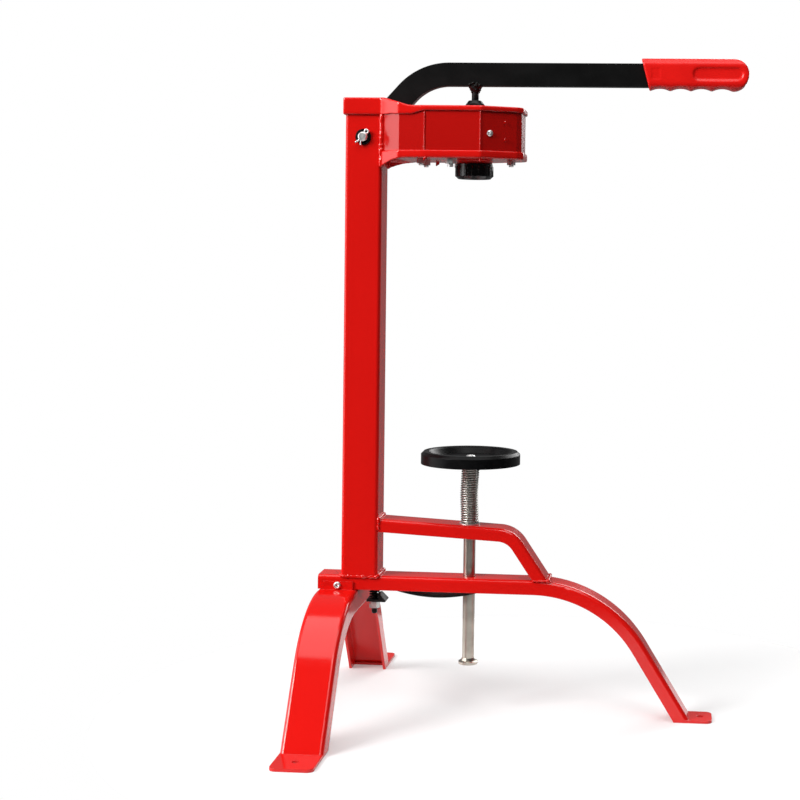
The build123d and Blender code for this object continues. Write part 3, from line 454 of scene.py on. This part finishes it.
# runs a piece's shapes together into one even skin and smooths it
def meltPiece(piece, material, voxel, passes):
    melt = piece.modifiers.new("melt", "REMESH")
    melt.mode = "VOXEL"
    melt.voxel_size = voxel
    settle = piece.modifiers.new("settle", "SMOOTH")
    settle.factor = 0.5
    settle.iterations = passes
    applyModifiers(piece)
    piece.data.materials.clear()
    piece.data.materials.append(material)
    return piece


# takes the shapes of a few working meshes out of a piece
def cutAway(piece, shapes):
    cutters = []
    for bm in shapes:
        mesh = bpy.data.meshes.new("cutter")
        bm.to_mesh(mesh)
        bm.free()
        cutter = bpy.data.objects.new("cutter", mesh)
        bpy.context.scene.collection.objects.link(cutter)
        cut = piece.modifiers.new("cut", "BOOLEAN")
        cut.operation = "DIFFERENCE"
        cut.object = cutter
        cutters.append(cutter)
    applyModifiers(piece)
    piece.data.set_sharp_from_angle(angle=sharpTurn)
    for cutter in cutters:
        bpy.data.objects.remove(cutter)


def closeHoles(bm):
    bmesh.ops.holes_fill(bm, edges=[edge for edge in bm.edges if edge.is_boundary], sides=0)


# wire wound up the Z axis as a spec says; the turn at each end lies flat on the next
def windWire(bm, spec, across, low, high):
    wire, closed = spec["wire"], spec["closed"]
    ring = bmesh.ops.create_circle(bm, cap_ends=False, segments=spec["sides"], radius=wire / 2)["verts"]
    bmesh.ops.rotate(bm, verts=ring, cent=(0, 0, 0), matrix=Matrix.Rotation(pi / 2, 3, "X"))
    bmesh.ops.translate(bm, verts=ring, vec=((across - wire) / 2, 0, low + wire / 2))
    section = ring + list({edge for vert in ring for edge in vert.link_edges})
    flat = (closed, closed * wire)
    springy = (spec["turns"] - 2 * closed, high - low - wire - 2 * closed * wire)
    for count, rise in (flat, springy, flat):
        many = max(1, round(count * spec["steps"]))
        section = bmesh.ops.spin(bm, geom=section, cent=(0, 0, 0), axis=(0, 0, 1), angle=2 * pi * count,
                                 dvec=(0, 0, rise / many), steps=many, use_duplicate=False)["geom_last"]
    closeHoles(bm)


# long spring round the rod; it has bowed a little to the left, as such a long one does
platformCoil = {"wire": 1.75 * mm, "turns": 23, "steps": 32, "sides": 12, "closed": 0.75, "bow": 1.0 * mm}
low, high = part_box("platform_spring")
centre = middle("platform_spring")
bm = bmesh.new()
windWire(bm, platformCoil, high[0] - low[0], low[2], high[2])
for vert in bm.verts:
    share = (vert.co.z - low[2]) / (high[2] - low[2])
    vert.co.x += centre.x - platformCoil["bow"] * sin(pi * share) ** 2
    vert.co.y += centre.y
spring = finishPiece(bm, "platformCoil", springWire, None)
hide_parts("platform_spring")
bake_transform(spring)

# short black coil that tilts the lock lever against the rod
lockCoil = {"wire": 1.6 * mm, "turns": 5, "steps": 24, "sides": 8, "closed": 0.6}
low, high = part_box("lock_spring")
centre = middle("lock_spring")
bm = bmesh.new()
windWire(bm, lockCoil, high[0] - low[0], low[2], high[2])
bmesh.ops.translate(bm, verts=bm.verts, vec=(centre.x, centre.y, 0))
spring = finishPiece(bm, "lockCoil", blackSteel, "frame")
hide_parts("lock_spring")

# the two small coils that open the jaws lie along X
jawCoil = {"wire": 1.1 * mm, "turns": 4, "steps": 20, "sides": 6, "closed": 0.5}
low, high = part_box("jaw_return_springs")
centre = middle("jaw_return_springs")
across = high[2] - low[2]
bm = bmesh.new()
for side, outside in ((-1, low[1]), (1, high[1])):
    coil = bmesh.new()
    windWire(coil, jawCoil, across, low[0], high[0])
    bmesh.ops.rotate(coil, verts=coil.verts, cent=(0, 0, 0), matrix=Matrix.Rotation(pi / 2, 3, "Y"))
    bmesh.ops.translate(coil, verts=coil.verts, vec=(0, outside - side * across / 2, centre.z))
    half = bpy.data.meshes.new("jawCoil")
    coil.to_mesh(half)
    coil.free()
    bm.from_mesh(half)
spring = finishPiece(bm, "jawCoils", springWire, "frame")
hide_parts("jaw_return_springs")


# wire bent through a few given points
def bendWire(name, points, radius):
    curve = bpy.data.curves.new(name, "CURVE")
    curve.dimensions = "3D"
    curve.bevel_depth = radius
    curve.bevel_resolution = 3
    curve.resolution_u = 8
    curve.use_fill_caps = True
    line = curve.splines.new("NURBS")
    line.points.add(len(points) - 1)
    for point, place in zip(line.points, points):
        point.co = (*place, 1.0)
    line.use_endpoint_u = True
    line.order_u = 3
    holder = bpy.data.objects.new(name, curve)
    bpy.context.scene.collection.objects.link(holder)
    mesh = bakedMesh(holder)
    bpy.data.objects.remove(holder)
    return mesh


# split pin through the front end of the pivot pin: a loop above, two legs spread below;
# each half's bends are (sideways, up) in the loop's radius and in shares of the leg
splitPin = {
    "wire": 1.9 * mm,
    "eye": 1.7 * mm,
    "legs": (6.5 * mm, 5.0 * mm),
    "spread": (2.2 * mm, 2.4 * mm),
    "shank": 5.2 * mm,
    "turn": radians(35),
    "sharp": radians(60),
    "loop": [(0, 2), (1.2, 1.9), (1.2, 0.6)],
    "splay": [(0.4, 0.25), (1.0, 0.7)],
}
centre = middle("split_pin")
pinMiddle = middle("pivot_pin")
bm = bmesh.new()
eye, shank = splitPin["eye"], splitPin["shank"]
gap = splitPin["wire"] * 0.5
for side, leg, spread in zip((-1, 1), splitPin["legs"], splitPin["spread"]):
    points = [(side * eye * out, 0, shank + up * eye) for out, up in splitPin["loop"]]
    points += [(side * gap, 0, height) for height in (shank, 0, -shank)]
    points += [(side * (gap + spread * out), 0, -shank - leg * down) for out, down in splitPin["splay"]]
    bm.from_mesh(bendWire("pinWire", points, splitPin["wire"] / 2))
bmesh.ops.rotate(bm, verts=bm.verts, cent=(0, 0, 0), matrix=Matrix.Rotation(splitPin["turn"], 3, "Y"))
bmesh.ops.translate(bm, verts=bm.verts, vec=(pinMiddle.x, centre.y, pinMiddle.z))
pin = finishPiece(bm, "splitPin", zinc, "frame", splitPin["sharp"])
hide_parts("split_pin")


print("stage: welds")

chance = random.Random(11)
weld = {"spacing": 0.42, "uneven": 0.14, "drift": 0.05, "voxel": 0.55 * mm, "passes": 2}


def layDrop(bm, place, radius):
    bmesh.ops.create_icosphere(bm, subdivisions=2, radius=radius, matrix=Matrix.Translation(place))


# a row of overlapping drops, the ripples that a welder leaves
def layBead(bm, start, end, width):
    start, end = Vector(start), Vector(end)
    count = max(1, round((end - start).length / (width * weld["spacing"])))
    for index in range(count + 1):
        size = width / 2 * (1 + weld["uneven"] * chance.uniform(-1, 1))
        drift = Vector((chance.uniform(-1, 1), chance.uniform(-1, 1), chance.uniform(-1, 1)))
        layDrop(bm, start.lerp(end, index / count) + drift * width * weld["drift"], size)


# melts the drops into one skin
def finishWeld(bm, name, material, body, voxel):
    piece = finishPiece(bm, name, material, body)
    return meltPiece(piece, material, voxel, weld["passes"])


postLow, postHigh = corners("post")
guideLow, guideHigh = corners("guide_bar")
trayLow, trayHigh = corners("bottom_tray")
wallHigh = corners("side_wall")[1]
coverLow = corners("top_cover")[0]

# beads along the sides of the post's foot and of the guide's two ends, and then across
# the corners there; off says how far along and up each of these four stands off its corner
frameBeads = {
    "out": 0.3 * mm,
    "inset": 1 * mm,
    "tall": 11 * mm,
    "post": {"lift": -0.4 * mm, "width": 4.6 * mm},
    "side": {"width": 3.2 * mm},
    "foot": {"lift": 0.2 * mm, "width": 2.6 * mm},
    "cross": {
        "off": [(-0.4 * mm, 0.4 * mm), (0.6 * mm, 0.6 * mm), (0.5 * mm, 0.2 * mm), (0.3 * mm, 0.2 * mm)],
        "width": 4.2 * mm,
    },
}
footXs = [vert.co.x for vert in nodes["guide_bar"].data.vertices if vert.co.z < guideLow.z + 1.0 * mm]
footStart, footEnd = min(footXs), max(footXs)
inset = frameBeads["inset"]
guideHalf = guideHigh.y
foot = postLow.z
postBead = foot + frameBeads["post"]["lift"]
footBead = foot + frameBeads["foot"]["lift"]
bm = bmesh.new()
for side in (-1, 1):
    x, y = postHigh.x + frameBeads["out"], side * (guideHalf + frameBeads["out"])
    for start, end, place in (
        ((postLow.x + inset, y, postBead), (postHigh.x - inset, y, postBead), "post"),
        ((x, y, guideHigh.z - frameBeads["tall"]), (x, y, guideHigh.z - inset), "side"),
        ((footStart + inset, y, footBead), (footEnd - inset, y, footBead), "foot"),
    ):
        layBead(bm, start, end, frameBeads[place]["width"])
acrossFrame = frameBeads["cross"]
frameCorners = [(postLow.x, foot), (postHigh.x, foot), (postHigh.x, guideHigh.z), (footEnd, foot)]
for (x, z), (past, up) in zip(frameCorners, acrossFrame["off"]):
    start, end = ((x + past, y, z + up) for y in (inset - guideHalf, guideHalf - inset))
    layBead(bm, start, end, acrossFrame["width"])
finishWeld(bm, "frameWelds", redEnamel, "frame", weld["voxel"])

# head: upright beads where its wall meets the post
headBeads = {"width": 6.0 * mm, "out": 1.0 * mm, "sunk": 0.2 * mm, "low": 2 * mm, "high": 1 * mm}
bm = bmesh.new()
low, high = trayLow.z + headBeads["low"], coverLow.z + headBeads["high"]
for side in (-1, 1):
    x, y = postHigh.x - headBeads["sunk"], side * (postHigh.y + headBeads["out"])
    layBead(bm, (x, y, low), (x, y, high), headBeads["width"])
finishWeld(bm, "headWelds", redEnamel, "frame", weld["voxel"])

# thin seams down the wall's two bends, a drop of weld at the foot of the one nearer the
# post, and two spot marks on the side that slants from the other one to the nose; the
# bends are measured from the post's middle
headSeams = {"bends": (70.0 * mm, 129.5 * mm), "width": 2.1 * mm, "sunk": 0.1 * mm, "below": 11 * mm,
             "above": 4 * mm, "voxel": 0.3 * mm}
seamDrop = {"past": 1.2 * mm, "out": 0.6 * mm, "below": 9.0 * mm, "radius": 2.1 * mm}
seamMarks = {"heights": (620.8 * mm, 638.9 * mm), "past": 25.0 * mm, "in": 11.4 * mm,
             "size": (0.9 * mm, 0.7 * mm, 2.2 * mm)}
bm = bmesh.new()
postX = (postLow.x + postHigh.x) / 2
nearX, farX = (postX + bend for bend in headSeams["bends"])
low, high = trayHigh.z - headSeams["below"], coverLow.z + headSeams["above"]
for side in (-1, 1):
    y = side * (wallHigh.y - headSeams["sunk"])
    for x in (nearX, farX):
        layBead(bm, (x, y, low), (x, y, high), headSeams["width"])
    place = (nearX + seamDrop["past"], side * (wallHigh.y + seamDrop["out"]), trayHigh.z - seamDrop["below"])
    layDrop(bm, place, seamDrop["radius"])
    for height in seamMarks["heights"]:
        place = Matrix.Translation((farX + seamMarks["past"], side * (wallHigh.y - seamMarks["in"]), height))
        oval = Matrix.Diagonal((*seamMarks["size"], 1.0))
        bmesh.ops.create_icosphere(bm, subdivisions=2, radius=1.0, matrix=place @ oval)
# the seams take the wall's darker copy of the enamel, painted shade like the wall's
finishWeld(bm, "headSeams", shadedWallEnamel, "frame", headSeams["voxel"])

# lumpy weld that holds the plunger's stud under the lever: rings of drops (radius, height
# and width) and a patch on each side of the lever (along and up)
studWeld = {
    "rings": [
        (5.4 * mm, -0.6 * mm, 4.0 * mm),
        (4.6 * mm, -3.2 * mm, 3.4 * mm),
        (4.0 * mm, -5.6 * mm, 2.6 * mm),
    ],
    "around": 9,
    "uneven": {"turn": 0.2, "height": 0.6 * mm, "width": (0.8, 1.15)},
    "patch": [
        (-5.5 * mm, 1.5 * mm),
        (-2.0 * mm, 3.2 * mm),
        (2.5 * mm, 2.6 * mm),
        (5.5 * mm, 1.0 * mm),
        (0.5 * mm, 0.2 * mm),
    ],
    "patchRadius": 1.9 * mm,
    "sunk": 0.4 * mm,
    "voxel": 0.4 * mm,
}
studHigh = corners("plunger_stud")[1]
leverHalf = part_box("lever_bar")[1][1]
stud = middle("plunger_stud")
bm = bmesh.new()
uneven = studWeld["uneven"]
for radius, up, width in studWeld["rings"]:
    for index in range(studWeld["around"]):
        angle = 2 * pi * index / studWeld["around"] + chance.uniform(-uneven["turn"], uneven["turn"])
        height = studHigh.z + up + chance.uniform(-uneven["height"], uneven["height"])
        place = (stud.x + radius * cos(angle), radius * sin(angle), height)
        layDrop(bm, place, width / 2 * chance.uniform(*uneven["width"]))
for side in (-1, 1):
    for along, up in studWeld["patch"]:
        place = (stud.x + along, side * (leverHalf - studWeld["sunk"]), studHigh.z + up)
        layDrop(bm, place, studWeld["patchRadius"])
finishWeld(bm, "studWeld", blackPowder, "lever", studWeld["voxel"])


print("stage: fasteners")

# root: how far the ridge starts inside the shank; depth, crest and foot: shares of the pitch
ridge = {"root": 0.15 * mm, "depth": 0.28, "crest": 0.42, "foot": 0.84, "steps": 16}


# a screw thread's ridge: a small wedge spun up the shank
def cutThread(bm, x, y, radius, low, high, pitch):
    inside = radius - ridge["root"]
    start = [
        bm.verts.new((inside, 0, 0)),
        bm.verts.new((radius + ridge["depth"] * pitch, 0, pitch * ridge["crest"])),
        bm.verts.new((inside, 0, pitch * ridge["foot"])),
    ]
    section = start + [bm.edges.new(pair) for pair in zip(start, start[1:] + start[:1])]
    before = len(bm.verts) - len(start)
    turns = (high - low) / pitch - 1
    steps = round(turns * ridge["steps"])
    bmesh.ops.spin(bm, geom=section, cent=(0, 0, 0), axis=(0, 0, 1), angle=2 * pi * turns,
                   dvec=(0, 0, pitch * turns / steps), steps=steps, use_duplicate=False)
    bm.verts.ensure_lookup_table()
    bmesh.ops.translate(bm, verts=bm.verts[before:], vec=(x, y, low))


# centres of a node's separate solids, seen from above
def standingPlaces(name):
    mesh = bmesh.new()
    mesh.from_mesh(nodes[name].data)
    bmesh.ops.remove_doubles(mesh, verts=mesh.verts, dist=merge)
    left, places = set(mesh.verts), []
    while left:
        group, front = set(), [left.pop()]
        while front:
            vert = front.pop()
            group.add(vert)
            for link in vert.link_edges:
                other = link.other_vert(vert)
                if other in left:
                    left.remove(other)
                    front.append(other)
        xs, ys = [v.co.x for v in group], [v.co.y for v in group]
        places.append(((min(xs) + max(xs)) / 2, (min(ys) + max(ys)) / 2))
    mesh.free()
    return places


# threads of the upright bolts, from just above their plain ends to the nuts
boltThreads = {
    "trayThreads": {"node": "tray_bolts", "over": "tray_nuts", "radius": 3.0 * mm, "pitch": 1.0 * mm},
    "headThreads": {"node": "head_bolts", "over": "head_nuts", "radius": 2.5 * mm, "pitch": 0.8 * mm},
}
plainEnd = 0.2 * mm
for name, spec in boltThreads.items():
    low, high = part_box(spec["node"])[0][2] + plainEnd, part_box(spec["over"])[0][2]
    bm = bmesh.new()
    for x, y in standingPlaces(spec["over"]):
        cutThread(bm, x, y, spec["radius"], low, high, spec["pitch"])
    finishPiece(bm, name, zinc, "frame")

lockThread = {"radius": 3.0 * mm, "pitch": 1.0 * mm, "plain": 1.2 * mm}
bolt = middle("lock_bolt")
low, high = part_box("lock_bolt")[0][2] + lockThread["plain"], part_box("lock_nut")[0][2]
bm = bmesh.new()
cutThread(bm, bolt.x, bolt.y, lockThread["radius"], low, high, lockThread["pitch"])
finishPiece(bm, "lockThread", blackSteel, "frame")

studThread = {"radius": 3.8 * mm, "pitch": 1.25 * mm, "below": 0.5 * mm, "above": 5.5 * mm}
low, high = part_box("plunger_nut")[1][2] - studThread["below"], studHigh.z - studThread["above"]
bm = bmesh.new()
cutThread(bm, stud.x, stud.y, studThread["radius"], low, high, studThread["pitch"])
finishPiece(bm, "studThread", blackSteel, "lever")


# a copy of a CAD node, its loose triangles merged
def copyNode(name, piece, material, body):
    bm = bmesh.new()
    bm.from_mesh(nodes[name].data)
    made = finishPiece(bm, piece, material, body)
    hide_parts(name)
    return made


# how far the recesses are turned from square, in radians
crossTurn = 0.5


# copies of screws with a cross recess, cut by two crossed bars for each screw, which is
# given as the middle of its head and the way it faces
def crossScrews(name, piece, body, screws, spec):
    made = copyNode(name, piece, zinc, body)
    shape = Matrix.Diagonal((spec["length"], spec["width"], 2 * spec["depth"], 1.0))
    bars = []
    for turn in (0, pi / 2):
        bm = bmesh.new()
        for place, way in screws:
            aim = Vector(way).to_track_quat("Z", "Y").to_matrix().to_4x4()
            spin = Matrix.Rotation(turn + crossTurn, 4, "Z")
            bmesh.ops.create_cube(bm, size=1.0, matrix=Matrix.Translation(place) @ aim @ spin @ shape)
        bars.append(bm)
    cutAway(made, bars)


coverScrews = {"width": 1.1 * mm, "length": 5.0 * mm, "depth": 1.4 * mm}
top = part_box("head_bolts")[1][2]
screws = [((x, y, top), (0, 0, 1)) for x, y in standingPlaces("head_bolts")]
crossScrews("head_bolts", "coverScrews", "frame", screws, coverScrews)

# the side screws stand square on the slanting sides of the head
sideScrews = {"width": 0.9 * mm, "length": 4.2 * mm, "depth": 1.2 * mm, "slant": 0.416}
low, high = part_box("side_screws")
spot = middle("side_screws")
ends = ((-1, low[1]), (1, high[1]))
screws = [((spot.x, y, spot.z), (sideScrews["slant"], side, 0)) for side, y in ends]
crossScrews("side_screws", "sideScrews", "frame", screws, sideScrews)

legScrew = {"width": 1.1 * mm, "length": 5.0 * mm, "depth": 1.3 * mm}
spot = middle("leg_bolt")
screws = [((spot.x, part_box("leg_bolt")[0][1], spot.z), (0, -1, 0))]
crossScrews("leg_bolt", "legScrew", "frame", screws, legScrew)

dishScrew = {"width": 0.9 * mm, "length": 4.6 * mm, "depth": 1.2 * mm}
spot = middle("platform_screw")
screws = [((spot.x, spot.y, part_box("platform_screw")[1][2]), (0, 0, 1))]
crossScrews("platform_screw", "dishScrew", "platform", screws, dishScrew)


print("stage: grip, cup and foot")


# a CAD node with every edge run soft
def softenNode(name, piece, material, body, spec):
    made = copyNode(name, piece, material, body)
    return meltPiece(made, material, spec["voxel"], spec["passes"])


# the head's cover and tray were drawn in a press, so their edges roll over softly
pressed = {"voxel": 0.85 * mm, "passes": 18}
softenNode("top_cover", "pressedCover", redEnamel, "frame", pressed)
softenNode("bottom_tray", "pressedTray", redEnamel, "frame", pressed)

# moulded grip, with the shallow panel behind its oval
grip = {
    "voxel": 0.7 * mm,
    "passes": 30,
    "panel": (10.0 * mm, 21.5 * mm),
    "half": 7.0 * mm,
    "sink": 0.3 * mm,
    "soft": 2.4 * mm,
    "flank": 0.8,
}
gripPiece = softenNode("lever_grip", "grip", redVinyl, "lever", grip)
low, high = corners("lever_grip")
gripMiddle = (low + high) / 2


def ease(value):
    value = min(1.0, max(0.0, value))
    return value * value * (3 - 2 * value)


for vert in gripPiece.data.vertices:
    past = vert.co.x - low.x
    along = min(past - grip["panel"][0], grip["panel"][1] - past) / grip["soft"]
    up = (grip["half"] - abs(vert.co.z - gripMiddle.z)) / grip["soft"]
    if abs(vert.co.y) > high.y * grip["flank"]:
        vert.co.y -= (1 if vert.co.y > 0 else -1) * grip["sink"] * ease(along) * ease(up)


# flat shape drawn in the XZ plane and given a width
def pressPlate(bm, outline, half):
    line = [bm.verts.new((x, -half, z)) for x, z in outline]
    grown = bmesh.ops.extrude_face_region(bm, geom=[bm.faces.new(line)])["geom"]
    moved = [part for part in grown if isinstance(part, bmesh.types.BMVert)]
    bmesh.ops.translate(bm, verts=moved, vec=(0, 2 * half, 0))


def softenEdges(bm, offset):
    bmesh.ops.bevel(bm, geom=bm.edges[:], offset=offset, affect="EDGES", segments=2, profile=0.5, material=-1)


# seat of the short coil: a black plate with its free end folded up into a slanting lip
lockSeat = {"wall": 2.6 * mm, "lip": 7.0 * mm, "lean": 0.55, "nose": (0.6 * mm, 1.2 * mm), "soft": 0.5 * mm}
low, high = corners("lock_seat")
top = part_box("lock_spring")[0][2]
wall, lip = lockSeat["wall"], lockSeat["lip"]
noseBack, noseUp = lockSeat["nose"]
outline = [
    (low.x, top - wall),
    (high.x - noseBack, top - wall),
    (high.x, top - wall + noseUp),
    (high.x - lip, high.z),
    (high.x - lip - wall, high.z),
    (high.x - lip * lockSeat["lean"] - wall, top),
    (low.x, top),
]
bm = bmesh.new()
pressPlate(bm, outline, high.y)
softenEdges(bm, lockSeat["soft"])
seat = finishPiece(bm, "lockSeat", blackSteel, "frame")
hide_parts("lock_seat")

# lock lever: a bowed spring-steel blade that hangs on its bolt and bites the rod, which
# stands on the cup's axis
lockBlade = {
    "wall": 2.4 * mm,
    "steps": 26,
    "bow": 9.2 * mm,
    "round": 0.8,
    "tail": 2.2 * mm,
    "flat": 14.0 * mm,    # from the bolt to the start of the bow
    "boltHole": 3.6 * mm,
    "rodHole": 7.7 * mm,
    "through": 60 * mm,
}
cup = middle("neck_cup")
low, high = corners("lock_lever")
bend = bolt.x + lockBlade["flat"]
upper, lower = [], []
for index in range(lockBlade["steps"] + 1):
    x = low.x + (high.x - low.x) * index / lockBlade["steps"]
    past = max(0.0, (x - bend) / (high.x - bend))
    sag = lockBlade["bow"] * sin(pi * min(1.0, past)) ** lockBlade["round"] + lockBlade["tail"] * past
    upper.append((x, high.z - sag))
    lower.append((x, high.z - sag - lockBlade["wall"]))
bm = bmesh.new()
pressPlate(bm, lower + upper[::-1], high.y)
blade = finishPiece(bm, "lockBlade", blackSteel, "lock")
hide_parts("lock_lever")
holes = []
for centre, radius in ((bolt, lockBlade["boltHole"]), (cup, lockBlade["rodHole"])):
    bm = bmesh.new()
    bmesh.ops.create_cone(bm, cap_ends=True, segments=32, radius1=radius, radius2=radius,
                          depth=lockBlade["through"], matrix=Matrix.Translation((centre.x, centre.y, high.z)))
    holes.append(bm)
cutAway(blade, holes)

# ribs round the neck cup, so that it can be gripped and turned out
cupRibs = {"count": 18, "width": 1.5 * mm, "proud": 0.7 * mm, "tall": 11.0 * mm, "above": 2.5 * mm,
           "soft": 0.3 * mm}
low, high = corners("neck_cup")
place = Matrix.Translation(((high.x - low.x) / 2, 0, low.z + cupRibs["above"] + cupRibs["tall"] / 2))
shape = Matrix.Diagonal((2 * cupRibs["proud"], cupRibs["width"], cupRibs["tall"], 1.0))
bm = bmesh.new()
for index in range(cupRibs["count"]):
    turn = Matrix.Rotation(2 * pi * (index + 0.5) / cupRibs["count"], 4, "Z")
    bmesh.ops.create_cube(bm, size=1.0, matrix=Matrix.Translation((cup.x, cup.y, 0)) @ turn @ place @ shape)
softenEdges(bm, cupRibs["soft"])
finishPiece(bm, "cupRibs", cupNylon, "frame")

# thin flared stop on the rod's foot, spun from its profile
rodFoot = {"disc": 3.4 * mm, "flare": 3.4 * mm, "lip": 0.6 * mm, "fillet": (1.2 * mm, 0.4 * mm),
           "collar": 0.3 * mm}
low, high = corners("rod_cap")
centre = middle("rod_cap")
rodLow, rodHigh = corners("platform_rod")
rodRadius = (rodHigh.x - rodLow.x) / 2
outer = (high.x - low.x) / 2
lip, collar = rodFoot["lip"], rodFoot["collar"]
discTop = low.z + rodFoot["disc"]
flareTop = discTop + rodFoot["flare"]
outline = [
    (0, low.z),
    (outer - lip, low.z),
    (outer, low.z + lip),
    (outer, discTop - lip),
    (outer - lip, discTop),
    (rodRadius + rodFoot["fillet"][0], discTop + rodFoot["fillet"][1]),
    (rodRadius + collar, flareTop),
    (rodRadius - collar, flareTop),
]
bm = bmesh.new()
line = [bm.verts.new((x, 0, z)) for x, z in outline]
profile = line + [bm.edges.new(pair) for pair in zip(line, line[1:])]
bmesh.ops.spin(bm, geom=profile, cent=(0, 0, 0), axis=(0, 0, 1), angle=2 * pi, steps=48,
               use_merge=True, use_duplicate=False)
bmesh.ops.remove_doubles(bm, verts=bm.verts, dist=merge)
closeHoles(bm)
bmesh.ops.translate(bm, verts=bm.verts, vec=(centre.x, centre.y, 0))
stop = finishPiece(bm, "rodFoot", nickel, "platform")
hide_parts("rod_cap")


print("stage: floor")

# a round white table; it glows a little so that it meets the white behind it unseen
table = {"radius": 0.46, "glow": 0.25}
bm = bmesh.new()
bmesh.ops.create_circle(bm, cap_ends=True, segments=128, radius=table["radius"])
floorMesh = bpy.data.meshes.new("floor")
bm.to_mesh(floorMesh)
bm.free()
floorMesh.materials.append(makeCard(table["glow"]))
floor = bpy.data.objects.new("floor", floorMesh)
bpy.context.scene.collection.objects.link(floor)


print("stage: finish")
